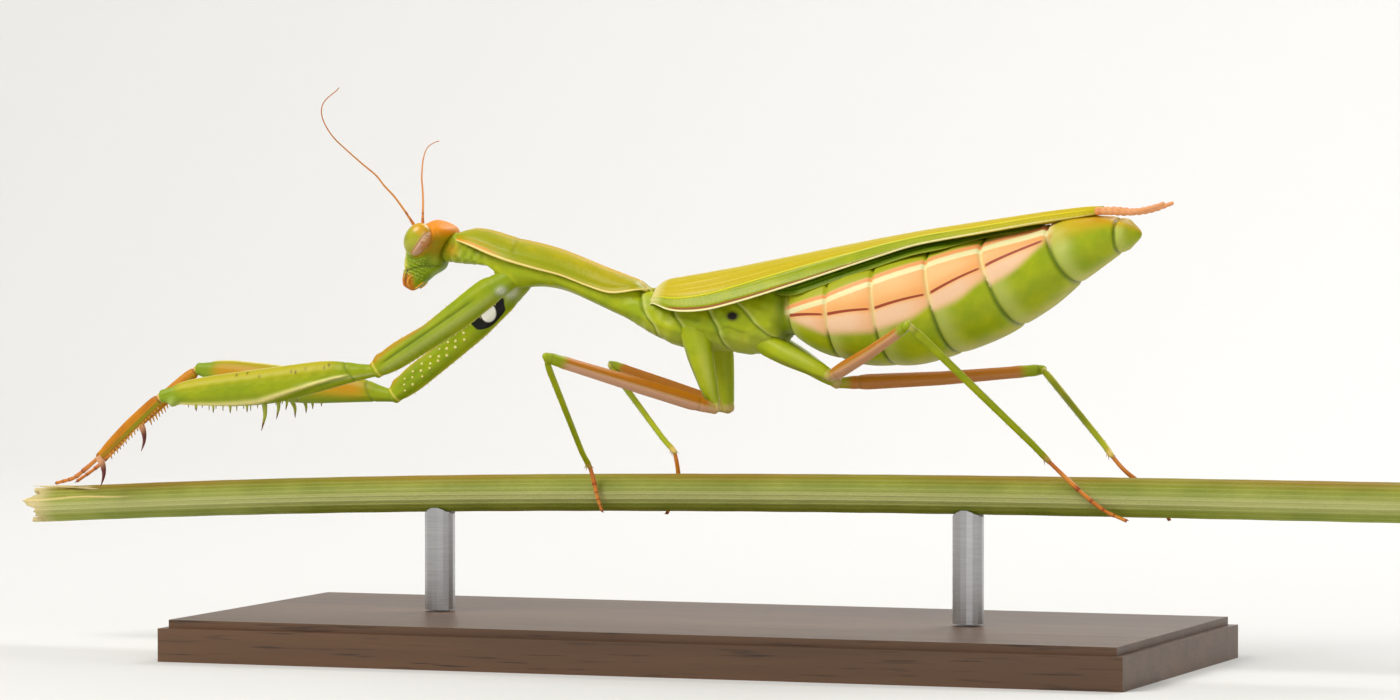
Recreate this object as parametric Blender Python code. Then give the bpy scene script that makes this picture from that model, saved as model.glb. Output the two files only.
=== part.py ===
"""A life-size female praying mantis, Mantis religiosa, stalking along a cut plant stem on a display stand.

Frame: metres, +Z up. The origin is the centre of the underside of the stand's base. The stem and the
body run along X with the head towards -X, and the animal's left side faces -Y.

Every solid is built from rings of points round a line, in millimetres, and scaled to metres last.
Sizes are named here first, the helpers come next, and each part of the animal has its own function.
"""

import math

import bmesh
import bpy
from mathutils import Matrix, Vector

MM = 0.001  # all the sizes below are in millimetres
GAP = 0.2  # clearance between two neighbouring solids
SIDES = {"left": -1, "right": 1}  # the sign of Y on each side of the body

# The perch: a grass stem that droops towards its torn end, as a cantilever does.
STEM_TORN_X = -71.5
STEM_BUTT_X = 72.0
STEM_BUTT_Z = 16.5
STEM_DROOP = 3.1
STEM_TORN_RADIUS = 1.76
STEM_BUTT_RADIUS = 1.93
STEM_RING_BIAS = 1.15  # over 1, the rings of the stem lie closer together towards the torn end
TEAR_DEPTH = 3.0  # the torn tongues differ in length by this much
TEAR_TURN = 2.4  # how far the tear's wave turns from one corner of the ring to the next

# The stand.
BASE_SIZE = Vector((96.0, 40.0, 4.0))
BASE_EDGE = 0.8
ROD_RADIUS = 1.5
ROD_REACH = 0.45  # the rods end this share of the stem's radius under its axis
ROD_X = {"front": -27.0, "rear": 27.0}

# The head hangs face forward. Each level is (height, front x, back x, half width) from mouth to crown.
HEAD_LEVELS = (
    (35.2, -30.2, -29.4, 0.35),
    (35.6, -30.7, -29.0, 0.75),
    (36.3, -30.8, -28.1, 1.10),
    (37.2, -30.6, -27.3, 1.40),
    (38.4, -30.4, -26.6, 1.95),
    (39.4, -30.2, -26.0, 2.50),
    (40.4, -29.8, -25.6, 2.90),
    (41.2, -29.4, -25.4, 2.85),
    (41.8, -28.9, -25.9, 2.30),
    (42.0, -28.4, -26.7, 1.40),
)
HEAD_SIDES = 14
HEAD_FULLNESS = 2.4  # over 2, a ring is squarer than an ellipse
EYE_CENTRE = Vector((-28.2, 2.7, 40.3))
EYE_HALF = Vector((1.35, 1.2, 1.75))  # fore and aft, sideways, along its tall axis
EYE_LEAN = math.radians(33.0)  # the top of the eye leans back
EYE_SPLAY = math.radians(14.0)  # and the eyes spread apart downwards from the crown

# The feelers, from the face to the tip. The left one sweeps forward, the right one out to the side.
ANTENNA_ROOT = Vector((-29.1, 0.75, 41.2))
ANTENNA_BEND = {
    "left": ((-30.2, -1.1, 43.2), (-32.0, -1.9, 45.6), (-34.6, -3.0, 48.2), (-36.9, -4.2, 50.6),
             (-37.4, -5.1, 52.6), (-36.6, -5.8, 53.9), (-34.9, -6.2, 54.8)),
    "right": ((-29.3, 1.3, 43.2), (-29.8, 2.5, 44.9), (-30.5, 4.0, 46.4), (-31.3, 6.2, 48.0),
              (-32.0, 9.2, 49.3), (-32.1, 12.6, 49.9)),
}
ANTENNA_RADIUS = 0.27
ANTENNA_RINGS = 14

# The trunk, as (x, top, bottom, half width) stations from front to rear. The neck starts inside the head.
NECK = (
    (-27.0, 40.2, 38.4, 0.95),
    (-25.5, 40.2, 37.9, 1.35),
    (-24.4, 40.0, 37.7, 1.55),
    (-22.8, 39.3, 37.6, 1.75),
    (-21.0, 38.6, 37.4, 1.80),
)
PRONOTUM = (
    (-24.8, 40.9, 40.3, 0.90),
    (-24.3, 41.2, 40.1, 1.75),
    (-22.9, 41.4, 39.7, 2.20),
    (-21.2, 41.1, 39.0, 2.50),
    (-18.8, 40.4, 38.2, 2.75),
    (-15.8, 39.8, 37.4, 2.40),
    (-13.6, 39.2, 36.9, 2.00),
    (-11.0, 38.2, 35.9, 1.90),
    (-8.4, 37.2, 35.1, 2.10),
    (-6.0, 36.4, 35.5, 2.00),
    (-4.9, 36.0, 35.7, 1.20),
)
PRONOTUM_ARCH = 8  # flats from rim to rim
PRONOTUM_SHOULDER = 0.85  # under 1, the arch is fuller than half an ellipse
PRONOTUM_HOLLOW = 0.45  # how far the underside rises above the rim, where the shield is deep enough
PRONOTUM_SHALLOW = 0.6  # and the share of the shield's height that it rises elsewhere
PRONOTUM_LIP = 0.97  # the width of the underside, as a share of the shield's
PROTHORAX = (
    (-20.8, 38.4, 36.2, 1.75),
    (-18.8, 38.2, 35.7, 2.00),
    (-16.0, 37.4, 36.0, 1.85),
    (-13.6, 36.9, 35.8, 1.60),
    (-11.0, 35.9, 34.5, 1.55),
    (-8.4, 35.1, 33.3, 1.75),
    (-6.6, 35.1, 32.4, 1.90),
)
THORAX = (
    (-6.2, 35.3, 32.2, 1.95),
    (-4.6, 35.5, 31.1, 2.50),
    (-1.5, 35.7, 30.0, 3.30),
    (1.2, 36.0, 29.8, 3.60),
    (4.5, 36.4, 29.6, 3.70),
    (7.5, 36.7, 29.4, 3.60),
    (9.0, 36.8, 30.4, 3.30),
)
ABDOMEN = (
    (9.4, 36.8, 32.2, 3.30),
    (11.0, 37.3, 30.6, 4.50),
    (13.8, 38.1, 29.4, 5.40),
    (17.4, 38.9, 28.6, 5.95),
    (21.8, 39.7, 28.6, 6.15),
    (26.6, 40.5, 29.9, 5.80),
    (31.4, 41.3, 31.9, 5.05),
    (35.4, 41.9, 34.5, 4.20),
    (38.4, 42.3, 37.0, 3.40),
    (41.4, 42.9, 39.2, 2.50),
    (43.1, 42.5, 40.0, 1.60),
    (43.9, 41.7, 40.6, 0.60),
)
TRUNK_FULLNESS = 2.3
ABDOMEN_FULLNESS = 2.4

# The cerci, side by side over the tail.
CERCUS_PATH = ((39.9, 43.3), (41.0, 43.4), (43.0, 43.15), (45.0, 43.5), (46.6, 44.1))
CERCUS_SPREAD = 1.5
CERCUS_RADIUS = 0.36
CERCUS_SWELL = 0.25  # how much thicker its middle is than its ends
CERCUS_RINGS = 9

# The folded wings: (x, height of the back, half width, height of the costal edge, curl of the section).
WING_STATIONS = (
    (-4.4, 36.2, 2.5, 34.9, 3.0),
    (-2.8, 36.4, 3.6, 33.8, 3.4),
    (-0.6, 36.8, 4.3, 33.5, 3.6),
    (2.4, 37.3, 4.7, 33.7, 3.6),
    (6.5, 38.1, 4.9, 34.8, 3.4),
    (12.0, 39.2, 5.0, 36.5, 3.0),
    (17.5, 40.3, 4.8, 38.3, 2.6),
    (23.0, 41.3, 4.3, 40.1, 2.3),
    (29.0, 42.2, 3.7, 41.2, 2.0),
    (35.0, 43.1, 2.8, 42.3, 2.0),
    (38.6, 43.5, 1.9, 42.8, 2.0),
    (40.3, 43.6, 0.9, 43.3, 2.0),
)
WING_THICKNESS = 0.5
WING_MIDLINE = 0.1  # the two wings meet this far from the middle of the back
HINDWING_DEPTH = 0.7  # the folded hind wing lies this far under the outer face of the fore wing
HINDWING_START = 1  # the first and last fore wing stations that the hind wing lies under
HINDWING_END = 10
WING_ROOM_HEIGHT = 6.0  # how far up the room for the wings is cleared
HINDWING_SPARE = 0.35  # how far it shows past the fore wing's costal edge

# The joints of the legs, as (x, distance out from the body's middle plane, z).
LEG_JOINTS = {
    "fore": {
        "left": ((-19.2, 1.9, 36.3), (-32.6, 2.8, 27.5), (-54.3, 5.0, 24.8), (-61.6, 4.1, 18.7)),
        "right": ((-19.1, 1.9, 35.8), (-33.0, 2.7, 24.8), (-54.6, 4.2, 27.1), (-60.7, 3.2, 21.8)),
    },
    "mid": {
        "left": ((0.4, 2.6, 31.2), (2.5, 2.8, 24.3), (-9.9, 15.2, 29.5), (-10.4, 2.5, 18.6)),
        "right": ((0.9, 2.6, 30.8), (1.9, 2.7, 24.1), (-13.9, 12.5, 27.7), (-3.1, 1.3, 20.0)),
    },
    "hind": {
        "left": ((8.0, 2.4, 30.4), (14.3, 3.0, 27.6), (26.9, 18.0, 33.0), (35.7, 2.9, 20.0)),
        "right": ((7.6, 2.4, 30.2), (13.0, 2.9, 26.7), (30.0, 14.2, 27.8), (40.6, 1.4, 20.4)),
    },
}
# The feet, from the ankle to the claws. The fore feet rest on the stem and the others hook over its sides.
FOOT_PATH = {
    "fore": {
        "left": ((-63.5, 3.0, 17.5), (-65.6, 1.7, 16.3), (-68.0, 0.7, 15.75)),
        "right": ((-62.6, 2.7, 19.6), (-64.7, 1.9, 17.3), (-66.6, 1.0, 15.85)),
    },
    "mid": {
        "left": ((-10.2, 2.2, 17.6), (-9.9, 2.35, 16.6), (-9.6, 2.35, 15.4), (-9.3, 2.1, 14.3)),
        "right": ((-2.9, 1.7, 18.4), (-3.0, 2.3, 17.0), (-3.4, 2.4, 15.4), (-4.0, 1.6, 13.9)),
    },
    "hind": {
        "left": ((37.3, 2.5, 18.4), (39.2, 2.4, 16.7), (41.2, 2.4, 15.2), (43.2, 2.1, 14.4)),
        "right": ((41.8, 1.7, 18.9), (43.4, 2.3, 17.6), (45.0, 2.4, 16.0), (46.2, 1.9, 14.3)),
    },
}
# The girth of each length of leg: (share of its length, half thickness above, below, half width).
GIRTH = {
    "fore_coxa": ((0.0, 1.3, 1.0, 1.0), (0.15, 1.6, 1.2, 1.0), (0.35, 1.3, 1.5, 0.95),
                  (0.6, 0.95, 1.4, 0.85), (0.85, 1.3, 1.25, 0.85), (1.0, 0.85, 0.8, 0.65)),
    "fore_femur": ((0.0, 0.6, 0.6, 0.55), (0.06, 0.85, 0.8, 0.7), (0.14, 1.35, 1.05, 0.85),
                   (0.25, 1.6, 1.45, 0.95), (0.40, 1.55, 2.0, 1.05), (0.54, 1.5, 2.35, 1.1),
                   (0.69, 1.45, 2.05, 1.05), (0.84, 1.35, 1.45, 0.85), (0.94, 1.0, 1.05, 0.65),
                   (1.0, 0.6, 0.6, 0.5)),
    "fore_tibia": ((0.0, 0.45, 0.4, 0.35), (0.12, 0.75, 0.45, 0.45), (0.5, 0.85, 0.5, 0.45),
                   (0.88, 0.6, 0.5, 0.42), (1.0, 0.35, 0.4, 0.3)),
    "mid_coxa": ((0.0, 1.5, 1.5, 1.1), (0.3, 1.35, 1.35, 1.1), (0.75, 0.9, 0.9, 0.85), (1.0, 0.6, 0.6, 0.6)),
    "mid_femur": ((0.0, 0.5, 0.5, 0.45), (0.08, 0.75, 0.75, 0.6), (0.5, 0.68, 0.68, 0.55),
                  (0.85, 0.55, 0.55, 0.48), (0.95, 0.6, 0.6, 0.5), (1.0, 0.4, 0.4, 0.35)),
    "mid_tibia": ((0.0, 0.3, 0.3, 0.28), (0.08, 0.36, 0.36, 0.32), (0.9, 0.3, 0.3, 0.28),
                  (1.0, 0.26, 0.26, 0.26)),
    "hind_coxa": ((0.0, 1.0, 1.3, 1.0), (0.3, 1.0, 1.2, 1.05), (0.8, 0.8, 0.85, 0.85),
                  (1.0, 0.55, 0.55, 0.55)),
    "hind_femur": ((0.0, 0.5, 0.5, 0.45), (0.08, 0.72, 0.72, 0.6), (0.5, 0.62, 0.62, 0.52),
                   (0.85, 0.52, 0.52, 0.45), (0.95, 0.6, 0.6, 0.5), (1.0, 0.4, 0.4, 0.35)),
    "hind_tibia": ((0.0, 0.32, 0.32, 0.3), (0.08, 0.4, 0.4, 0.34), (0.9, 0.34, 0.34, 0.3),
                   (1.0, 0.28, 0.28, 0.28)),
}
BOW = {  # how far the middle of a length of leg bends aside from a straight line
    "mid_tibia": Vector((-0.7, 0.0, -0.1)),
    "hind_femur": Vector((0.0, 0.0, -0.2)),
    "hind_tibia": Vector((0.25, 0.0, 0.15)),
}
FOOT_RADIUS = 0.26
FOOT_TIP_RADIUS = 0.12
FOOT_RINGS = 12
FOOT_SWELL = 0.08  # how much the foot swells at its joints, and how its joints are spaced along the rings
FOOT_JOINT_TURN = 2.5
FOOT_LEAD = 0.25  # how much further than the gap the foot keeps from the ankle
LEG_SIDES = 8
TRUNK_SIDES = 16

# The fighting spines under the fore femur: (share of its length, how far the spine stands out).
DISCOID_SPINES = ((0.37, 0.5), (0.42, 1.0), (0.46, 1.7), (0.525, 2.6))
DISCOID_LEAN = -0.14  # how far the tip of a spine leans back along X, as a share of its length
DISCOID_INSET = -0.15  # how far it roots out from the limb's middle
OUTER_SPINES = ((0.60, 0.6), (0.68, 0.65), (0.76, 0.65), (0.84, 0.6))
OUTER_LEAN = 0.2
OUTER_INSET = 0.35
SPINE_RADIUS = 0.24
SPINE_ROOT = 0.55  # how deep in the limb a spine starts
SPINE_SPLAY = 0.1  # how far its tip leans away from the limb's middle
SPINE_SIDES = 5

# The comb of teeth along the fore tibia and the claw at its end.
TIBIA_TEETH = 10
TIBIA_COMB = (0.14, 0.88)  # the shares of the tibia's length where the comb starts and ends
TIBIA_TOOTH = (0.55, 0.9)  # the length of the comb's first and last tooth
TIBIA_TOOTH_RADIUS = 0.2
TIBIA_TOOTH_DEPTH = 0.25  # how far from the limb's middle a tooth starts
TIBIA_TOOTH_LEAN = 0.35
TIBIA_CLAW = ((-0.1, 0.0), (0.5, 0.9), (0.5, 1.9), (0.1, 3.0))  # forward and down from the end of the tibia
CLAW_RADIUS = 0.34
CLAW_TIP_RADIUS = 0.05
CLAW_TAPER = 0.7
CLAW_RINGS = 7
CLAW_SPLAY = 0.1

COLOURS = {
    "leaf_green": (0.27, 0.36, 0.01),
    "olive_gold": (0.45, 0.36, 0.01),
    "pale_belly": (0.36, 0.42, 0.02),
    "amber_limb": (0.52, 0.18, 0.01),
    "eye_green": (0.42, 0.36, 0.02),
    "stem_green": (0.36, 0.38, 0.10),
    "base_wood": (0.20, 0.12, 0.07),
    "rod_steel": (0.60, 0.60, 0.60),
}


# ---------------------------------------------------------------- helpers

def clear_scene():
    """Removes whatever the opened file held."""
    for thing in list(bpy.data.objects):
        bpy.data.objects.remove(thing, do_unlink=True)


def material(name, roughness=0.45, metallic=0.0):
    """A plain Principled material of one of the named colours."""
    made = bpy.data.materials.get(name) or bpy.data.materials.new(name)
    made.use_nodes = True
    shader = made.node_tree.nodes["Principled BSDF"]
    shader.inputs["Base Color"].default_value = (*COLOURS[name], 1.0)
    shader.inputs["Roughness"].default_value = roughness
    shader.inputs["Metallic"].default_value = metallic
    return made


def object_from(name, bm, look):
    """Makes a Blender object in metres from a mesh that was built in millimetres."""
    bmesh.ops.recalc_face_normals(bm, faces=bm.faces)
    bmesh.ops.scale(bm, vec=Vector((MM, MM, MM)), verts=bm.verts)
    mesh = bpy.data.meshes.new(name)
    bm.to_mesh(mesh)
    bm.free()
    mesh.materials.append(look)
    mesh.shade_smooth()
    mesh.set_sharp_from_angle(angle=math.radians(40.0))
    made = bpy.data.objects.new(name, mesh)
    bpy.context.scene.collection.objects.link(made)
    return made


def smooth_value(knots, at):
    """Reads a smooth curve through knots (position, value, value, ...) at one position."""
    last = len(knots) - 1
    i = 0
    while i < last - 1 and at > knots[i + 1][0]:
        i += 1
    before, here = knots[max(i - 1, 0)], knots[i]
    there, after = knots[i + 1], knots[min(i + 2, last)]
    span = there[0] - here[0]
    s = min(max((at - here[0]) / span, 0.0), 1.0)
    values = []
    for k in range(1, len(here)):
        rise_here = (there[k] - before[k]) / (there[0] - before[0]) * span
        rise_there = (after[k] - here[k]) / (after[0] - here[0]) * span
        values.append(
            here[k] * (2 * s**3 - 3 * s**2 + 1)
            + there[k] * (3 * s**2 - 2 * s**3)
            + rise_here * (s**3 - 2 * s**2 + s)
            + rise_there * (s**3 - s**2)
        )
    return values


def smooth_path(points, count):
    """Places count points along a smooth curve through the given ones."""
    knots = [(float(i), *point) for i, point in enumerate(points)]
    reach = len(points) - 1
    return [Vector(smooth_value(knots, reach * i / (count - 1))) for i in range(count)]


def oval(centre, across, upward, half_width, above, below, sides, fullness=2.0):
    """A ring of points. Above and below the centre it may be of different heights, and a fullness over 2
    squares its corners."""
    points = []
    for i in range(sides):
        turn = 2 * math.pi * (i + 0.5) / sides
        c = math.cos(turn)
        s = math.sin(turn)
        out = math.copysign(abs(c) ** (2 / fullness), c) * half_width
        rise = math.copysign(abs(s) ** (2 / fullness), s) * (above if s > 0 else below)
        points.append(centre + across * out + upward * rise)
    return points


def body_from_rings(rings):
    """Joins rings of equal size into one closed body with a flat face at each end."""
    bm = bmesh.new()
    loops = [[bm.verts.new(point) for point in ring] for ring in rings]
    for first, second in zip(loops, loops[1:]):
        for i in range(len(first)):
            k = (i + 1) % len(first)
            bm.faces.new((first[i], first[k], second[k], second[i]))
    bm.faces.new(loops[0])
    bm.faces.new(loops[-1])
    return bm


def frames_along(path, upward_hint):
    """For each point of a path, its across and upward directions, square to the path."""
    frames = []
    for i, point in enumerate(path):
        ahead = (path[min(i + 1, len(path) - 1)] - path[max(i - 1, 0)]).normalized()
        across = ahead.cross(upward_hint).normalized()
        frames.append((point, across, across.cross(ahead).normalized()))
    return frames


def tube(path, radii, sides=6, upward_hint=Vector((0.0, 1.0, 0.0)), grow=0.0):
    """A closed body round a path, with its own radius at each point."""
    rings = []
    for (point, across, upward), radius in zip(frames_along(path, upward_hint), radii):
        reach = radius + grow
        rings.append(oval(point, across, upward, reach, reach, reach, sides))
    return body_from_rings(rings)


def carve(carrier, bm, name):
    """Cuts a socket in a solid, so that its neighbour sits in it without overlap."""
    cutter = object_from("cut_" + name, bm, carrier.data.materials[0])
    cutter.hide_render = True
    cutter.display_type = "WIRE"
    cut = carrier.modifiers.new("socket_" + name, "BOOLEAN")
    cut.operation = "DIFFERENCE"
    cut.solver = "EXACT"
    cut.object = cutter


def fuse(carrier, bm, name):
    """Joins a part that grows from a solid, such as a row of spines, to that solid."""
    growth = object_from("grow_" + name, bm, carrier.data.materials[0])
    growth.hide_render = True
    growth.display_type = "WIRE"
    union = carrier.modifiers.new("union_" + name, "BOOLEAN")
    union.operation = "UNION"
    union.solver = "EXACT"
    union.object = growth


# ---------------------------------------------------------------- stand and perch

def stem_axis(x):
    """The middle of the stem at x. The droop grows with the cube of the distance from the butt."""
    share = (STEM_BUTT_X - x) / (STEM_BUTT_X - STEM_TORN_X)
    return Vector((x, 0.0, STEM_BUTT_Z - STEM_DROOP * max(share, 0.0) ** 3))


def stem_radius(x):
    share = (x - STEM_TORN_X) / (STEM_BUTT_X - STEM_TORN_X)
    return STEM_TORN_RADIUS + (STEM_BUTT_RADIUS - STEM_TORN_RADIUS) * share


def stem_body(grow=0.0, start=STEM_TORN_X, lengths=18, sides=16):
    """The stem, its first ring torn into tongues of different lengths."""
    rings = []
    for i in range(lengths + 1):
        x = start + (STEM_BUTT_X - start) * (i / lengths) ** STEM_RING_BIAS
        radius = stem_radius(x) + grow
        across = Vector((0.0, 1.0, 0.0))
        upward = Vector((0.0, 0.0, 1.0))
        ring = oval(stem_axis(x), across, upward, radius, radius, radius, sides)
        if i == 0:
            for k, point in enumerate(ring):
                point.x += TEAR_DEPTH * (0.5 + 0.5 * math.cos(TEAR_TURN * k + 1.0))
        rings.append(ring)
    return body_from_rings(rings)


def build_perch():
    object_from("perch_stem", stem_body(), material("stem_green", 0.5))


def build_stand():
    bm = bmesh.new()
    bmesh.ops.create_cube(bm, size=1.0)
    bmesh.ops.scale(bm, vec=BASE_SIZE, verts=bm.verts)
    bmesh.ops.translate(bm, vec=Vector((0.0, 0.0, BASE_SIZE.z / 2)), verts=bm.verts)
    rim = [edge for edge in bm.edges if min(v.co.z for v in edge.verts) > BASE_SIZE.z / 2]
    bmesh.ops.bevel(bm, geom=rim, offset=BASE_EDGE, segments=2, affect="EDGES")
    object_from("stand_base", bm, material("base_wood", 0.3))
    for place, x in ROD_X.items():
        foot = Vector((x, 0.0, BASE_SIZE.z + GAP))
        head = stem_axis(x) - Vector((0.0, 0.0, ROD_REACH * stem_radius(x)))
        path = [foot.lerp(head, i / 2) for i in range(3)]
        rod = tube(path, [ROD_RADIUS] * 3, 16)
        made = object_from("stand_rod_" + place, rod, material("rod_steel", 0.3, 1.0))
        carve(made, stem_body(GAP, STEM_TORN_X - TEAR_DEPTH), "stem_at_" + place)


# ---------------------------------------------------------------- head

def head_body():
    rings = []
    for height, front, back, half_width in HEAD_LEVELS:
        centre = Vector(((front + back) / 2, 0.0, height))
        depth = (back - front) / 2
        across = Vector((0.0, 1.0, 0.0))
        rearward = Vector((1.0, 0.0, 0.0))
        rings.append(oval(centre, across, rearward, half_width, depth, depth, HEAD_SIDES, HEAD_FULLNESS))
    return body_from_rings(rings)


def eye_body(sign, grow=0.0):
    """An egg-shaped eye, leaning back and splayed."""
    bm = bmesh.new()
    bmesh.ops.create_uvsphere(bm, u_segments=14, v_segments=9, radius=1.0)
    bmesh.ops.scale(bm, vec=EYE_HALF + Vector((grow, grow, grow)), verts=bm.verts)
    lean = Matrix.Rotation(EYE_LEAN, 4, "Y") @ Matrix.Rotation(-sign * EYE_SPLAY, 4, "X")
    place = Matrix.Translation(Vector((EYE_CENTRE.x, sign * EYE_CENTRE.y, EYE_CENTRE.z)))
    bmesh.ops.transform(bm, matrix=place @ lean, verts=bm.verts)
    return bm


def antenna_body(side, grow=0.0):
    sign = SIDES[side]
    root = Vector((ANTENNA_ROOT.x, sign * ANTENNA_ROOT.y, ANTENNA_ROOT.z))
    path = smooth_path([root, *ANTENNA_BEND[side]], ANTENNA_RINGS)
    return tube(path, [ANTENNA_RADIUS] * len(path), 6, Vector((0.3, 1.0, 0.2)), grow)


def build_head():
    head = object_from("head", head_body(), material("leaf_green"))
    carve(head, trunk_body(NECK, grow=GAP), "neck")
    for side, sign in SIDES.items():
        object_from("eye_" + side, eye_body(sign), material("eye_green", 0.25))
        carve(head, eye_body(sign, GAP), "eye_" + side)
        object_from("antenna_" + side, antenna_body(side), material("amber_limb"))
        carve(head, antenna_body(side, GAP), "antenna_" + side)


# ---------------------------------------------------------------- trunk

def trunk_body(stations, fullness=TRUNK_FULLNESS, grow=0.0):
    """A closed body through trunk stations (x, top, bottom, half width)."""
    rings = []
    for i, (x, top, bottom, half_width) in enumerate(stations):
        lead = -grow if i == 0 else 0.0
        centre = Vector((x + lead, 0.0, (top + bottom) / 2))
        half = (top - bottom) / 2 + grow
        across = Vector((0.0, 1.0, 0.0))
        upward = Vector((0.0, 0.0, 1.0))
        rings.append(oval(centre, across, upward, half_width + grow, half, half, TRUNK_SIDES, fullness))
    return body_from_rings(rings)


def pronotum_body(grow=0.0):
    """The shield over the fore body: an arch with a sharp rim and a shallow hollow underneath."""
    rings = []
    for x, top, rim, half_width in PRONOTUM:
        ring = []
        for i in range(PRONOTUM_ARCH + 1):
            turn = math.pi * i / PRONOTUM_ARCH
            out = math.cos(turn) * (half_width + grow)
            rise = abs(math.sin(turn)) ** PRONOTUM_SHOULDER
            edge = i in (0, PRONOTUM_ARCH)
            ring.append(Vector((x, out, rim if edge else rim + grow + (top - rim) * rise)))
        lift = min(PRONOTUM_HOLLOW, PRONOTUM_SHALLOW * (top - rim))
        for out in (-PRONOTUM_LIP, -PRONOTUM_LIP / 2, 0.0, PRONOTUM_LIP / 2, PRONOTUM_LIP):
            hollow = lift * (1 - abs(out) / PRONOTUM_LIP)
            ring.append(Vector((x, out * half_width, rim - GAP - grow + hollow)))
        rings.append(ring)
    return body_from_rings(rings)


def build_trunk():
    green = material("leaf_green")
    belly = material("pale_belly")
    object_from("pronotum", pronotum_body(), material("olive_gold"))
    neck = object_from("neck", trunk_body(NECK), green)
    prothorax = object_from("prothorax", trunk_body(PROTHORAX), green)
    thorax = object_from("thorax", trunk_body(THORAX), belly)
    abdomen = object_from("abdomen", trunk_body(ABDOMEN, ABDOMEN_FULLNESS), belly)
    carve(neck, pronotum_body(GAP), "shield_neck")
    carve(prothorax, pronotum_body(GAP), "shield_prothorax")
    carve(thorax, pronotum_body(GAP), "shield_thorax")
    return {"neck": neck, "prothorax": prothorax, "thorax": thorax, "abdomen": abdomen}


def cercus_body(sign, grow=0.0):
    """A cercus, thickest in the middle and bent up at the tip."""
    points = [Vector((x, sign * CERCUS_SPREAD, z)) for x, z in CERCUS_PATH]
    turns = [math.pi * i / (CERCUS_RINGS - 1) for i in range(CERCUS_RINGS)]
    radii = [CERCUS_RADIUS * (1 - CERCUS_SWELL * (1 - math.sin(turn))) for turn in turns]
    return tube(smooth_path(points, CERCUS_RINGS), radii, 8, grow=grow)


def wing_section(station, sign, depth, spare, cells=5):
    """One cut across a folded wing, at a depth under its outer face. It curls down to the costal edge."""
    x, back, half_width, edge, curl = station
    reach = half_width - WING_MIDLINE
    points = []
    for i in range(cells + 1):
        s = i / cells * (1 + spare / reach)
        slope = -curl * (back - edge) * s ** (curl - 1) / reach
        tilt = math.hypot(1.0, slope)
        y = max(WING_MIDLINE + reach * s + depth * slope / tilt, WING_MIDLINE)
        points.append(Vector((x, sign * y, back - (back - edge) * s**curl - depth / tilt)))
    return points


def wing_body(sign, stations, depth, thickness, spare=0.0):
    """A thin shell between two depths under the outer face of the folded wings."""
    rings = []
    for station in stations:
        outer = wing_section(station, sign, depth, spare)
        inner = wing_section(station, sign, depth + thickness, spare)
        rings.append(outer + inner[::-1])
    return body_from_rings(rings)


def room_for_wings():
    """All that lies above the underside of the folded wings, with a gap, to be cut from the back."""
    rings = []
    for i, station in enumerate(WING_STATIONS):
        layers = HINDWING_DEPTH if HINDWING_START <= i < HINDWING_END else 0.0
        half = wing_section(station, 1, layers + WING_THICKNESS + GAP, HINDWING_SPARE + GAP)
        rim = wing_section(station, 1, -GAP, HINDWING_SPARE + GAP)[-1]
        half += [rim, rim + Vector((0.0, 0.0, WING_ROOM_HEIGHT))]
        rings.append([Vector((p.x, -p.y, p.z)) for p in half[::-1]] + half)
    lead = [p - Vector((GAP, 0.0, 0.0)) for p in rings[0]]
    return body_from_rings([lead, *rings])


def build_wings(trunk):
    under = WING_STATIONS[HINDWING_START:HINDWING_END]
    for side, sign in SIDES.items():
        fore = wing_body(sign, WING_STATIONS, 0.0, WING_THICKNESS)
        hind = wing_body(sign, under, HINDWING_DEPTH, WING_THICKNESS, HINDWING_SPARE)
        object_from("forewing_" + side, fore, material("olive_gold"))
        object_from("hindwing_" + side, hind, material("leaf_green"))
    carve(trunk["abdomen"], room_for_wings(), "wings_over_abdomen")
    carve(trunk["thorax"], room_for_wings(), "wings_over_thorax")


def build_cerci(trunk):
    for side, sign in SIDES.items():
        object_from("cercus_" + side, cercus_body(sign), material("amber_limb"))
        carve(trunk["abdomen"], cercus_body(sign, GAP), "cercus_" + side)


# ---------------------------------------------------------------- legs

def joint(leg, side, number):
    x, out, z = LEG_JOINTS[leg][side][number]
    return Vector((x, SIDES[side] * out, z))


def limb_body(kind, start, end, grow=0.0):
    """One length of leg between two joints, with its girth from the table. It stops short of both joints."""
    reach = (end - start).length
    ahead = (end - start) / reach
    across = ahead.cross(Vector((0.0, 0.0, 1.0))).normalized()
    upward = across.cross(ahead)
    trim = GAP / 2 - grow
    bow = BOW.get(kind, Vector())
    rings = []
    for share, above, below, half_width in GIRTH[kind]:
        at = trim + (reach - 2 * trim) * share
        centre = start + ahead * at + bow * math.sin(math.pi * share)
        rings.append(oval(centre, across, upward, half_width + grow, above + grow, below + grow, LEG_SIDES))
    return body_from_rings(rings)


def spine(bm, root, tip, radius):
    """Adds a spike to a mesh."""
    ahead = (tip - root).normalized()
    across = ahead.cross(Vector((0.0, 1.0, 0.0))).normalized()
    upward = across.cross(ahead)
    ring = [bm.verts.new(p) for p in oval(root, across, upward, radius, radius, radius, SPINE_SIDES)]
    point = bm.verts.new(tip)
    bm.faces.new(ring)
    for i in range(SPINE_SIDES):
        bm.faces.new((ring[i], ring[(i + 1) % SPINE_SIDES], point))


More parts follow.
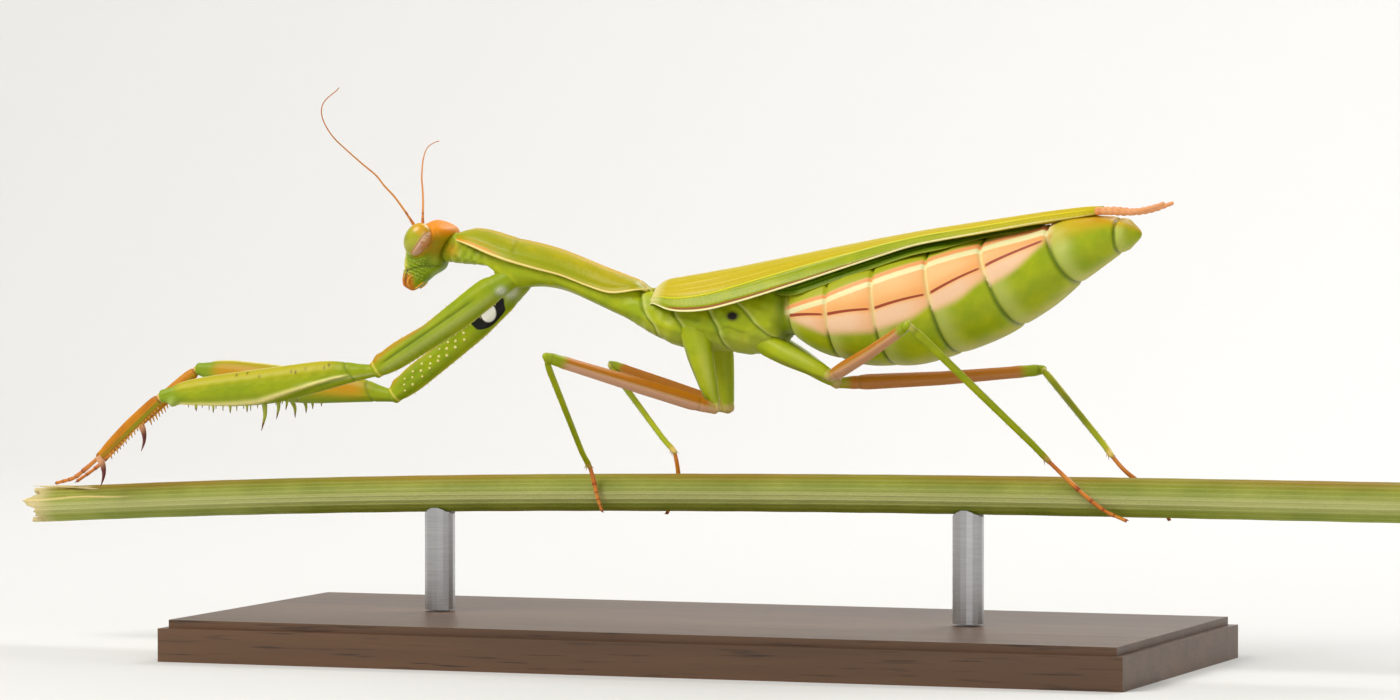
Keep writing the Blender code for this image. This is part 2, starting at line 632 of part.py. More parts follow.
def femur_spines(start, end, sign):
    """The long discoid spines inside and the shorter outer row, under the fore femur."""
    bm = bmesh.new()
    discoid = (DISCOID_SPINES, DISCOID_LEAN, DISCOID_INSET)
    outer = (OUTER_SPINES, OUTER_LEAN, OUTER_INSET)
    for row, lean, inset in (discoid, outer):
        for share, length in row:
            below = smooth_value(GIRTH["fore_femur"], share)[1]
            root = start.lerp(end, share) + Vector((0.0, inset * sign, SPINE_ROOT - below))
            splay = math.copysign(SPINE_SPLAY, inset) * sign
            spine(bm, root, root + Vector((lean * length, splay, -length - SPINE_ROOT)), SPINE_RADIUS)
    return bm


def tibia_teeth(start, end):
    """The comb of teeth along the inner edge of the fore tibia."""
    bm = bmesh.new()
    ahead = (end - start).normalized()
    down = Vector((0.0, 0.0, -1.0))
    inward = (down - ahead * ahead.dot(down)).normalized()
    for i in range(TIBIA_TEETH):
        s = i / (TIBIA_TEETH - 1)
        length = TIBIA_TOOTH[0] + (TIBIA_TOOTH[1] - TIBIA_TOOTH[0]) * s
        share = TIBIA_COMB[0] + (TIBIA_COMB[1] - TIBIA_COMB[0]) * s
        root = start.lerp(end, share) + inward * TIBIA_TOOTH_DEPTH
        tip = root + inward * (length + TIBIA_TOOTH_DEPTH) + ahead * TIBIA_TOOTH_LEAN * length
        spine(bm, root, tip, TIBIA_TOOTH_RADIUS)
    return bm


def tibia_claw(end, sign):
    """The curved claw that ends the fore tibia."""
    points = [end + Vector((forward, CLAW_SPLAY * sign, -down)) for forward, down in TIBIA_CLAW]
    shares = [i / (CLAW_RINGS - 1) for i in range(CLAW_RINGS)]
    radii = [CLAW_RADIUS * (1 - share) ** CLAW_TAPER + CLAW_TIP_RADIUS for share in shares]
    return tube(smooth_path(points, CLAW_RINGS), radii)


def foot_body(leg, side):
    """The slender foot, swollen a little at its joints, drawn out into the claws."""
    ankle = joint(leg, side, 3)
    points = [Vector((x, SIDES[side] * out, z)) for x, out, z in FOOT_PATH[leg][side]]
    first = ankle + (points[0] - ankle).normalized() * (GAP + FOOT_LEAD)
    radii = [FOOT_RADIUS * (1 + FOOT_SWELL * math.cos(FOOT_JOINT_TURN * i)) for i in range(FOOT_RINGS)]
    radii[-1] = FOOT_TIP_RADIUS
    return tube(smooth_path([first, *points], FOOT_RINGS), radii, upward_hint=Vector((0.2, 0.9, 0.4)))


def build_legs(trunk):
    carrier = {"fore": trunk["prothorax"], "mid": trunk["thorax"], "hind": trunk["thorax"]}
    looks = {
        "fore": ("leaf_green", "leaf_green", "amber_limb"),
        "mid": ("leaf_green", "amber_limb", "leaf_green"),
        "hind": ("leaf_green", "amber_limb", "leaf_green"),
    }
    for leg in LEG_JOINTS:
        for side, sign in SIDES.items():
            joints = [joint(leg, side, i) for i in range(4)]
            made = {}
            for i, part in enumerate(("coxa", "femur", "tibia")):
                name = "_".join((leg, part, side))
                solid = limb_body(leg + "_" + part, joints[i], joints[i + 1])
                made[part] = object_from(name, solid, material(looks[leg][i]))
            carve(carrier[leg], limb_body(leg + "_coxa", joints[0], joints[1], GAP), leg + "_coxa_" + side)
            carve(made["coxa"], limb_body(leg + "_femur", joints[1], joints[2], GAP), leg + "_hip_" + side)
            carve(made["femur"], limb_body(leg + "_tibia", joints[2], joints[3], GAP), leg + "_knee_" + side)
            if leg == "fore":
                fuse(made["femur"], femur_spines(joints[1], joints[2], sign), "femur_spines_" + side)
                fuse(made["tibia"], tibia_teeth(joints[2], joints[3]), "tibia_teeth_" + side)
                fuse(made["tibia"], tibia_claw(joints[3], sign), "tibia_claw_" + side)
            object_from("_".join((leg, "tarsus", side)), foot_body(leg, side), material("amber_limb"))


def main():
    clear_scene()
    build_stand()
    build_perch()
    build_head()
    trunk = build_trunk()
    build_wings(trunk)
    build_cerci(trunk)
    build_legs(trunk)


main()
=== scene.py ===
# %% [markdown]
# # A praying mantis on a stem
# This script dresses a life-size museum model of a praying mantis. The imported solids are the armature: they
# say where each part is and how thick it is. Each cell below makes one part or one finish, and says how the
# real thing is made before it says how Blender makes it. All lengths are in millimetres until a mesh is
# written.

# %% Load the frame
import math

import bpy
import bmesh
import numpy as np
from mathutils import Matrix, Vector
from mathutils.geometry import convex_hull_2d


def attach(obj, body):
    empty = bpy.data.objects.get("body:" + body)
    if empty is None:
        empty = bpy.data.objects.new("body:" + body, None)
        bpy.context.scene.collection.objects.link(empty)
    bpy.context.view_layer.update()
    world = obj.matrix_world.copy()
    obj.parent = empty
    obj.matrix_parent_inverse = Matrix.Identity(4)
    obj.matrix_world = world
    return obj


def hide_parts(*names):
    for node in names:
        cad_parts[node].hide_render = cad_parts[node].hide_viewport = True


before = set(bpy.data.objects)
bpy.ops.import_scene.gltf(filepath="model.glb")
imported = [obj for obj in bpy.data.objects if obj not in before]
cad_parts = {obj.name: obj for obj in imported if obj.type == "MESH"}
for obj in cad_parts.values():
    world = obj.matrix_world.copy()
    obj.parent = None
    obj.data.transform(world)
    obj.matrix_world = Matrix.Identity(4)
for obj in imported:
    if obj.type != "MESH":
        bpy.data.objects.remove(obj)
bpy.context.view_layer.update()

MM = 0.001
SIDES = {"left": -1, "right": 1}


def shown(name, data):
    """A new object that holds some data, linked to the scene."""
    made = bpy.data.objects.new(name, data)
    bpy.context.scene.collection.objects.link(made)
    return made


print("nodes in the frame:", len(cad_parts))

# %% [markdown]
# ## Camera
# The animal was seen from its left and a little from behind its middle, from far away compared with its
# length. A long lens keeps the near and the far legs at almost the same size, so the camera stands 600 mm
# away.

# %% Camera
CAMERA_DISTANCE = 600.0
CAMERA_TURN = math.radians(20.0)  # round from the animal's left side towards its tail
CAMERA_RISE = math.radians(2.0)
CAMERA_TARGET = Vector((0.0, 0.0, 29.8))
FRAME_WIDTH = 134.4  # how much of the scene the picture spans at the target


def make_camera():
    """A long lens aimed at the middle of the picture."""
    lens = bpy.data.cameras.new("camera")
    lens.type = "PERSP"
    lens.sensor_width = 36.0
    lens.lens = lens.sensor_width * CAMERA_DISTANCE / FRAME_WIDTH
    lens.clip_start = 0.01
    lens.clip_end = 10.0
    camera = shown("camera", lens)
    back = Vector((
        math.sin(CAMERA_TURN) * math.cos(CAMERA_RISE),
        -math.cos(CAMERA_TURN) * math.cos(CAMERA_RISE),
        math.sin(CAMERA_RISE),
    ))
    camera.location = (CAMERA_TARGET + back * CAMERA_DISTANCE) * MM
    camera.rotation_euler = back.to_track_quat("Z", "Y").to_euler()
    bpy.context.scene.camera = camera
    return camera


make_camera()
print("lens: %.1f mm" % bpy.data.cameras["camera"].lens)

# %% [markdown]
# ## Node trees
# Materials and Geometry Nodes are both trees of nodes. One short function adds a node, sets its properties
# and fills its sockets, either with values or with other nodes' outputs, so the trees below read like sums.

# %% Adding nodes
def fill(tree, node, inputs):
    """Fills a node's inputs with values or with other nodes' outputs."""
    for socket, value in inputs.items():
        if isinstance(value, bpy.types.NodeSocket):
            tree.links.new(value, node.inputs[socket])
        else:
            node.inputs[socket].default_value = value


def put(tree, kind, inputs=None, **settings):
    """Adds a node, sets its properties, then fills its inputs."""
    made = tree.nodes.new(kind)
    for name, value in settings.items():
        setattr(made, name, value)
    fill(tree, made, inputs or {})
    return made


def math_of(tree, operation, *values):
    """The output of a Math node."""
    return put(tree, "ShaderNodeMath", dict(enumerate(values)), operation=operation).outputs[0]


def mixed(tree, share, first, second):
    """The output of a colour Mix node."""
    return put(tree, "ShaderNodeMix", {0: share, 6: first, 7: second}, data_type="RGBA").outputs[2]


def noise_on(tree, place, scale, detail=2.0, stretch=(1.0, 1.0, 1.0)):
    """A noise texture on a piece's own coordinates. The scale is in waves for each metre."""
    moved = put(tree, "ShaderNodeMapping", {"Vector": place, "Scale": stretch})
    wave = put(tree, "ShaderNodeTexNoise", {"Vector": moved.outputs[0], "Scale": scale, "Detail": detail})
    return wave.outputs["Fac"]


def new_group(name, kind, takes, gives):
    """A node group with named inputs and outputs, and its input and output nodes."""
    tree = bpy.data.node_groups.new(name, kind)
    for label, (socket, value) in takes.items():
        entry = tree.interface.new_socket(label, in_out="INPUT", socket_type=socket)
        if value is not None:
            entry.default_value = value
    for label, socket in gives.items():
        tree.interface.new_socket(label, in_out="OUTPUT", socket_type=socket)
    return tree, tree.nodes.new("NodeGroupInput"), tree.nodes.new("NodeGroupOutput")


def shader_of(name):
    """A new material, its tree and its Principled shader."""
    paint = bpy.data.materials.new(name)
    paint.use_nodes = True
    return paint, paint.node_tree, paint.node_tree.nodes["Principled BSDF"]


FLOAT = "NodeSocketFloat"
print("kinds of shader node to build with:", sum(kind.startswith("ShaderNode") for kind in dir(bpy.types)))

# %% [markdown]
# ## Studio
# A museum model is shown on a plain pale ground under large soft lamps. The floor sweeps up behind the
# model, so no horizon crosses the picture. Three area lamps shape the forms: a broad key from the upper
# left, a weaker fill from the camera's side, and a rim lamp from behind that lights the edges of the wings.

# %% Studio
PAPER_COLOUR = (0.74, 0.735, 0.72, 1.0)
FLOOR_FRONT = -0.9
SWEEP_DEPTH = 0.34
SWEEP_RADIUS = 0.22
SWEEP_HEIGHT = 0.55
SWEEP_WIDTH = 2.4
SWEEP_STEPS = 16
MIDDLE = (0.0, 0.0, 0.03)
# Each lamp's name, place, size, power and colour. Lengths in this cell are in metres.
LAMPS = (
    ("lamp_key", (-0.35, -0.45, 0.62), 0.45, 5.4, (1.0, 0.98, 0.95)),
    ("lamp_fill", (0.55, -0.55, 0.25), 0.5, 1.2, (0.97, 0.98, 1.0)),
    ("lamp_rim", (0.15, 0.40, 0.45), 0.35, 2.2, (1.0, 1.0, 1.0)),
)
SKY_COLOUR = (1.0, 0.99, 0.97, 1.0)
SKY_STRENGTH = 0.30


def paper_paint():
    """Pale matt paper. A camera behind it sees through it, so the wall never hides the model."""
    paint, tree, shader = shader_of("studio_paper")
    behind = put(tree, "ShaderNodeNewGeometry").outputs["Backfacing"]
    looking = put(tree, "ShaderNodeLightPath").outputs["Is Camera Ray"]
    hidden = math_of(tree, "MULTIPLY", behind, looking)
    shown_share = math_of(tree, "SUBTRACT", 1.0, hidden)
    fill(tree, shader, {"Base Color": PAPER_COLOUR, "Roughness": 0.9, "Alpha": shown_share})
    return paint


def make_backdrop():
    """A floor that bends up into a wall, as a studio's paper roll does."""
    profile = [(FLOOR_FRONT, 0.0), (SWEEP_DEPTH, 0.0)]
    for i in range(1, SWEEP_STEPS + 1):
        turn = 0.5 * math.pi * i / SWEEP_STEPS
        profile.append((SWEEP_DEPTH + SWEEP_RADIUS * math.sin(turn), SWEEP_RADIUS * (1 - math.cos(turn))))
    profile.append((SWEEP_DEPTH + SWEEP_RADIUS, SWEEP_HEIGHT))
    sheet = bmesh.new()
    rows = []
    for side in (-SWEEP_WIDTH / 2, SWEEP_WIDTH / 2):
        rows.append([sheet.verts.new((side, y, z)) for y, z in profile])
    for i in range(len(profile) - 1):
        sheet.faces.new((rows[0][i], rows[1][i], rows[1][i + 1], rows[0][i + 1]))
    mesh = bpy.data.meshes.new("studio_floor")
    sheet.to_mesh(mesh)
    sheet.free()
    mesh.shade_smooth()
    mesh.materials.append(paper_paint())
    floor = shown("studio_floor", mesh)
    floor.rotation_euler.z = CAMERA_TURN
    return floor


def make_lamp(name, place, size, power, colour):
    """A square soft lamp aimed at the model's middle."""
    light = bpy.data.lights.new(name, "AREA")
    light.size = size
    light.energy = power
    light.color = colour
    lamp = shown(name, light)
    lamp.location = place
    lamp.rotation_euler = (Vector(place) - Vector(MIDDLE)).to_track_quat("Z", "Y").to_euler()


def make_sky():
    """A pale even light from all round."""
    sky = bpy.data.worlds.new("studio_sky")
    sky.use_nodes = True
    glow = sky.node_tree.nodes["Background"]
    fill(sky.node_tree, glow, {"Color": SKY_COLOUR, "Strength": SKY_STRENGTH})
    bpy.context.scene.world = sky


make_backdrop()
for lamp in LAMPS:
    make_lamp(*lamp)
make_sky()
bpy.context.scene.view_settings.view_transform = "Standard"
print("lamps:", len(LAMPS))

# %% [markdown]
# ## Measuring the solids
# A skin has to fit its armature. Blender's Shrinkwrap could press a skin on the solids, but it copies their
# facets and dips into the sockets. Here each solid is cut by a plane, as a sculptor takes a section with
# callipers, and the section's convex outline is kept, so a socket leaves no dent. Blurring the sections
# along and around takes the facets away.

# %% Callipers
LENGTHWISE = np.array([1.0, 0.0, 0.0])
ACROSS = np.array([0.0, 1.0, 0.0])
UPWARD = np.array([0.0, 0.0, 1.0])
UPRIGHT = (LENGTHWISE, ACROSS, UPWARD)  # sections across the body's length
LEVEL = (UPWARD, LENGTHWISE, ACROSS)  # sections level with the ground


def unit(vector):
    """A vector of the same direction, one long."""
    vector = np.asarray(vector, float)
    return vector / np.linalg.norm(vector)


def solid(*names):
    """The triangles of some solids, in millimetres, as an array (triangle, corner, xyz)."""
    found = []
    for name in names:
        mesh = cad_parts[name].data
        mesh.calc_loop_triangles()
        corners = np.empty(len(mesh.vertices) * 3)
        mesh.vertices.foreach_get("co", corners)
        index = np.empty(len(mesh.loop_triangles) * 3, dtype=int)
        mesh.loop_triangles.foreach_get("vertices", index)
        found.append(corners.reshape(-1, 3)[index].reshape(-1, 3, 3) / MM)
    return np.concatenate(found)


def section(triangles, origin, across, upward):
    """Where a plane cuts the triangles, as flat points (across, upward) from its origin."""
    height = (triangles - origin) @ np.cross(across, upward)
    points = []
    for a, b in ((0, 1), (1, 2), (2, 0)):
        crossed = (height[:, a] < 0) != (height[:, b] < 0)
        share = height[crossed, a] / (height[crossed, a] - height[crossed, b])
        start = triangles[crossed, a]
        points.append(start + share[:, None] * (triangles[crossed, b] - start))
    cut = np.concatenate(points) - origin
    return np.stack([cut @ across, cut @ upward], axis=1)


def outline_reach(flat, angles):
    """How far the convex outline of flat points reaches from the origin at each angle."""
    hull = flat[convex_hull_2d([tuple(point) for point in flat])]
    edge = np.roll(hull, -1, axis=0) - hull
    normal = np.stack([edge[:, 1], -edge[:, 0]], axis=1)
    depth = (normal * hull).sum(axis=1)
    normal[depth < 0] *= -1
    facing = normal @ np.stack([np.cos(angles), np.sin(angles)])
    reach = np.where(facing > 1e-9, np.abs(depth)[:, None] / np.maximum(facing, 1e-9), np.inf)
    return reach.min(axis=0)


def measured(triangles, places, angles, centre_of, start=0.0, axes=UPRIGHT, near=np.inf, mirrored=False):
    """Cuts a solid at places along the first of three axes. Gives each section's centre, as centre_of finds
    it, and how far its outline reaches from there at each angle. Points far from the line are dropped."""
    ahead, across, upward = axes
    centres, reaches = [], []
    for place in places:
        flat = section(triangles, start + ahead * place, across, upward)
        flat = flat[np.linalg.norm(flat, axis=1) < near]
        if mirrored:
            flat = np.concatenate([flat, flat * (-1.0, 1.0)])
        centre = centre_of(flat)
        centres.append(centre)
        reaches.append(outline_reach(flat - centre, angles))
    return np.array(centres), np.array(reaches)


def mid_height(flat):
    """The point on the middle line halfway up a section."""
    return np.array([0.0, (flat[:, 1].min() + flat[:, 1].max()) / 2])


def blur(values, spread, axis=0, wrap=False):
    """A Gaussian blur along one axis, by so many cells. The ends are held, or joined in a ring."""
    if spread <= 0:
        return values
    taps = np.arange(-int(3 * spread) - 1, int(3 * spread) + 2)
    weights = np.exp(-0.5 * (taps / spread) ** 2)
    cells = np.arange(values.shape[axis])
    total = 0.0
    for tap, weight in zip(taps, weights / weights.sum()):
        index = (cells + tap) % len(cells) if wrap else np.clip(cells + tap, 0, len(cells) - 1)
        total = total + weight * np.take(values, index, axis=axis)
    return total


def resampled(values, old, new):
    """Reads rows measured at the old places at new places."""
    flat = values.reshape(len(values), -1)
    read = [np.interp(new, old, flat[:, k]) for k in range(flat.shape[1])]
    return np.stack(read, axis=1).reshape(len(new), *values.shape[1:])


def bump(distance, width):
    """One at no distance, falling smoothly to nothing."""
    return np.exp(-((distance / width) ** 2))


def ramp(value, low, high):
    """Nought below low and one above high, with a smooth rise between them."""
    share = np.clip((value - low) / (high - low), 0.0, 1.0)
    return share * share * (3 - 2 * share)


print("corners in a section of the thorax:", len(section(solid("thorax"), LENGTHWISE, ACROSS, UPWARD)))

# %% [markdown]
# ## Nets
# Nearly every part of an insect is a tube or a plate, so one kind of mesh serves for all: a net, a grid of
# points with rings along the part and steps around it. Detail is pushed out along the net's normals, and
# each colour mask is a number on every point of it. The same numbers then drive the shape and the paint, so
# a pale ridge is pale exactly where it is raised.

# %% Nets to meshes
def ring_angles(steps):
    """The angles of the steps round a ring."""
    return np.arange(steps) * 2 * np.pi / steps


def outward(net):
    """The net's unit normals, pointing out of the tube."""
    along = np.gradient(net, axis=0)
    around = np.roll(net, -1, axis=1) - np.roll(net, 1, axis=1)
    normal = np.cross(around, along)
    length = np.linalg.norm(normal, axis=2, keepdims=True)
    normal = normal / np.maximum(length, 1e-12)
    centre = net.mean(axis=1, keepdims=True)
    if ((net - centre) * normal).sum() < 0:
        normal = -normal
    return normal


def pushed(net, distance):
    """The net with every point moved out along its normal."""
    return net + outward(net) * distance[:, :, None]


def piece(name, net, masks, paint, replaced=()):
    """Writes a closed net as a mesh that rides on the body, with its masks as attributes."""
    rings, steps = net.shape[:2]
    points = np.concatenate([net.reshape(-1, 3), net[0].mean(axis=0)[None], net[-1].mean(axis=0)[None]])
    cell = np.arange(rings * steps).reshape(rings, steps)
    ahead = np.roll(cell, -1, axis=1)
    quads = np.stack([cell[:-1], ahead[:-1], ahead[1:], cell[1:]], axis=-1).reshape(-1, 4)
    first, last = rings * steps, rings * steps + 1
    front = [(first, b, a) for a, b in zip(cell[0], ahead[0])]
    rear = [(last, a, b) for a, b in zip(cell[-1], ahead[-1])]
    faces = [tuple(quad) for quad in quads.tolist()] + front + rear
    corners = points[quads]
    volume = np.einsum("ij,ij->i", corners[:, 0], np.cross(corners[:, 1], corners[:, 2])).sum()
    volume += np.einsum("ij,ij->i", corners[:, 0], np.cross(corners[:, 2], corners[:, 3])).sum()
    if volume < 0:
        faces = [face[::-1] for face in faces]
    mesh = bpy.data.meshes.new(name)
    mesh.from_pydata((points * MM).tolist(), [], faces)
    for mask, values in masks.items():
        ends = [values[0].mean(), values[-1].mean()]
        layer = mesh.attributes.new(mask, "FLOAT", "POINT")
        layer.data.foreach_set("value", np.concatenate([values.ravel(), ends]).astype(np.float32))
    mesh.materials.append(paint)
    mesh.shade_smooth()
    return finished(shown(name, mesh), replaced)


def finished(made, replaced=()):
    """Ties a finished piece to the body and hides the solids it stands for."""
    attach(made, "root")
    if replaced:
        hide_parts(*replaced)
    print("%-22s %7d triangles" % (made.name, sum(len(face.vertices) - 2 for face in made.data.polygons)))
    return made

# %% [markdown]
# ## Cuticle
# An insect's skin is cuticle: a hard, thin, slightly clear shell. Its green is never flat. It has soft
# blotches, a fine leathery grain and tiny pits, and it is waxy rather than shiny. The blotches and the grain
# are one shader group that every cuticle shares. Each material then lays its tints over the base where a
# piece's masks say so.

# %% Cuticle materials
def grain_group():
    """Soft blotches, fine grain and a height for the bump, from a piece's own coordinates."""
    takes = {"Blotch scale": (FLOAT, 600.0), "Grain scale": (FLOAT, 6000.0)}
    gives = {"Blotch": FLOAT, "Grain": FLOAT, "Height": FLOAT}
    tree, entry, leave = new_group("cuticle_grain", "ShaderNodeTree", takes, gives)
    place = put(tree, "ShaderNodeTexCoord").outputs["Object"]
    blotch = noise_on(tree, place, entry.outputs["Blotch scale"], 3.0)
    grain = noise_on(tree, place, entry.outputs["Grain scale"], 3.0)
    pits = put(tree, "ShaderNodeTexVoronoi", {"Vector": place, "Scale": entry.outputs["Grain scale"]})
    waves = noise_on(tree, place, 2400.0, 2.0)
    pitted = math_of(tree, "MULTIPLY_ADD", pits.outputs["Distance"], 0.6, grain)
    height = math_of(tree, "MULTIPLY_ADD", waves, 1.6, pitted)
    soft = math_of(tree, "SMOOTH_MIN", blotch, 1.0, 0.1)
    fill(tree, leave, {"Blotch": soft, "Grain": grain, "Height": height})
    return tree


GRAIN = grain_group()


def mask_of(tree, name):
    """A number that a piece carries on its points."""
    return put(tree, "ShaderNodeAttribute", attribute_name=name).outputs["Fac"]


def band_share(tree, attribute, centre, half, gate, soft):
    """One within a band of a distance that a piece carries, and nought outside it or its gate. The border is
    worked out in the shader, so it stays crisp where the net is coarse."""
    off = math_of(tree, "ABSOLUTE", math_of(tree, "SUBTRACT", mask_of(tree, attribute), centre))
    border = {"Value": off, "From Min": half * (1 + soft), "From Max": half * (1 - soft)}
    share = put(tree, "ShaderNodeMapRange", border, interpolation_type="SMOOTHSTEP").outputs[0]
    return math_of(tree, "MULTIPLY", share, mask_of(tree, gate))


def cuticle(name, light, dark, tints=None, rough=0.48, coat=0.06, depth=0.022, blotch=500.0, grain=9000.0,
            glow=0.12,
            bands=()):
    """A cuticle of two near colours, with a tint laid over them for each mask, in order, and then for each
    band, a row (attribute, centre, half width, gate, tint, softness of its border). Depth is the bump's depth
    in millimetres, and glow is how much light passes through the skin."""
    paint, tree, shader = shader_of(name)
    scales = {"Blotch scale": blotch, "Grain scale": grain}
    skin = put(tree, "ShaderNodeGroup", scales, node_tree=GRAIN)
    spread = put(tree, "ShaderNodeMapRange",
                 {"Value": skin.outputs["Blotch"], "From Min": 0.35, "From Max": 0.65})
    colour = mixed(tree, spread.outputs[0], (*dark, 1.0), (*light, 1.0))
    wobble = math_of(tree, "MULTIPLY_ADD", skin.outputs["Grain"], 0.5, 0.75)
    for mask, tint in (tints or {}).items():
        share = math_of(tree, "MINIMUM", math_of(tree, "MULTIPLY", mask_of(tree, mask), wobble), 1.0)
        colour = mixed(tree, share, colour, (*tint, 1.0))
    for attribute, centre, half, gate, tint, soft in bands:
        colour = mixed(tree, band_share(tree, attribute, centre, half, gate, soft), colour, (*tint, 1.0))
    height = {"Strength": 0.6, "Distance": depth * MM, "Height": skin.outputs["Height"]}
    fill(tree, shader, {
        "Base Color": colour, "Normal": put(tree, "ShaderNodeBump", height).outputs[0],
        "Roughness": rough, "Specular IOR Level": 0.25, "Coat Weight": coat, "Coat Roughness": 0.3,
        "Subsurface Weight": glow, "Subsurface Radius": (0.9, 1.0, 0.2), "Subsurface Scale": 0.5 * MM,
    })
    return paint


GOLD = (0.62, 0.45, 0.003)
CREAM = (0.86, 0.76, 0.34)
PEACH = (0.90, 0.50, 0.19)
ROSE = (0.90, 0.60, 0.38)
BLACKISH = (0.012, 0.010, 0.008)
print("cuticle group:", GRAIN.name)

# %% [markdown]
# ## Small repeated things
# Spines, teeth, pearls and jointed feelers all repeat, so Geometry Nodes make them. One tree turns a path
# into a tube with a bead for every joint. A second sets a thorn on every given point, and a third sets a
# pearl there; both aim it with the point's own arrow. Each tree ends as real mesh, because the export drops
# instances.

# %% Geometry Nodes trees
def realized(tree, entry, leave, geometry):
    """Ends a tree with plain, painted mesh."""
    smooth = put(tree, "GeometryNodeSetShadeSmooth", {"Geometry": geometry})
    real = put(tree, "GeometryNodeRealizeInstances", {"Geometry": smooth.outputs[0]})
    painted = put(tree, "GeometryNodeSetMaterial",
                  {"Geometry": real.outputs[0], "Material": entry.outputs["Paint"]})
    tree.links.new(painted.outputs[0], leave.inputs[0])


def beads_tree():
    """A path becomes a tube that narrows from root to tip and swells at each joint."""
    takes = {
        "Path": ("NodeSocketGeometry", None), "Rings": ("NodeSocketInt", 60), "Sides": ("NodeSocketInt", 10),
        "Root radius": (FLOAT, 0.0002), "Tip radius": (FLOAT, 0.0001), "Taper": (FLOAT, 1.0),
        "Beads": (FLOAT, 10.0), "Swell": (FLOAT, 0.2), "Paint": ("NodeSocketMaterial", None),
    }
    tree, entry, leave = new_group("beaded_tube", "GeometryNodeTree", takes,
                                   {"Geometry": "NodeSocketGeometry"})
    path = put(tree, "GeometryNodeMeshToCurve", {"Mesh": entry.outputs["Path"]})
    even = put(tree, "GeometryNodeResampleCurve",
               {"Curve": path.outputs[0], "Count": entry.outputs["Rings"]})
    along = put(tree, "GeometryNodeSplineParameter").outputs["Factor"]
    narrowed = math_of(tree, "POWER", along, entry.outputs["Taper"])
    span = math_of(tree, "SUBTRACT", entry.outputs["Tip radius"], entry.outputs["Root radius"])
    plain = math_of(tree, "MULTIPLY_ADD", narrowed, span, entry.outputs["Root radius"])
    turn = math_of(tree, "MULTIPLY", math_of(tree, "MULTIPLY", along, entry.outputs["Beads"]), math.pi)
    bead = math_of(tree, "SUBTRACT", math_of(tree, "ABSOLUTE", math_of(tree, "SINE", turn)), 0.6)
    swollen = math_of(tree, "MULTIPLY_ADD", bead, entry.outputs["Swell"], 1.0)
    radius = math_of(tree, "MULTIPLY", plain, swollen)
    marked = put(tree, "GeometryNodeStoreNamedAttribute",
                 {"Geometry": even.outputs[0], "Name": "along", "Value": along}, data_type="FLOAT",
                 domain="POINT")
    ring = put(tree, "GeometryNodeCurvePrimitiveCircle",
               {"Resolution": entry.outputs["Sides"], "Radius": 1.0})
    tube = put(tree, "GeometryNodeCurveToMesh",
               {"Curve": marked.outputs[0], "Profile Curve": ring.outputs[0], "Scale": radius,
                "Fill Caps": True})
    realized(tree, entry, leave, tube.outputs[0])
    return tree


def studs_tree(name, shape_kind, shape_inputs, lift):
    """A small shape stands on each point, turned to the point's aim and sized by its own height and width."""
    takes = {"Points": ("NodeSocketGeometry", None), "Paint": ("NodeSocketMaterial", None)}
    tree, entry, leave = new_group(name, "GeometryNodeTree", takes, {"Geometry": "NodeSocketGeometry"})
    shape = put(tree, shape_kind, shape_inputs)
    raised = put(tree, "GeometryNodeTransform",
                 {"Geometry": shape.outputs[0], "Translation": (0.0, 0.0, lift)})
    high = put(tree, "ShaderNodeSeparateXYZ",
               {0: put(tree, "GeometryNodeInputPosition").outputs[0]}).outputs[2]
    marked = put(tree, "GeometryNodeStoreNamedAttribute",
                 {"Geometry": raised.outputs[0], "Name": "along", "Value": high}, data_type="FLOAT",
                 domain="POINT")
    aim = put(tree, "GeometryNodeInputNamedAttribute", {"Name": "aim"}, data_type="FLOAT_VECTOR").outputs[0]
    tall = put(tree, "GeometryNodeInputNamedAttribute", {"Name": "tall"}, data_type="FLOAT").outputs[0]
    wide = put(tree, "GeometryNodeInputNamedAttribute", {"Name": "wide"}, data_type="FLOAT").outputs[0]
    turned = put(tree, "FunctionNodeAlignRotationToVector", {"Vector": aim}, axis="Z").outputs[0]
    size = put(tree, "ShaderNodeCombineXYZ", {0: wide, 1: wide, 2: tall}).outputs[0]
    placed = put(tree, "GeometryNodeInstanceOnPoints",
                 {"Points": entry.outputs["Points"], "Instance": marked.outputs[0], "Rotation": turned,
                  "Scale": size})
    realized(tree, entry, leave, placed.outputs[0])
    return tree


BEADS = beads_tree()
THORNS = studs_tree("thorns", "GeometryNodeMeshCone",
                    {"Vertices": 8, "Side Segments": 2, "Radius Top": 0.04, "Radius Bottom": 1.0,
                     "Depth": 1.0}, 0.0)
PEARLS = studs_tree("pearls", "GeometryNodeMeshUVSphere", {"Segments": 10, "Rings": 7, "Radius": 1.0}, 0.0)


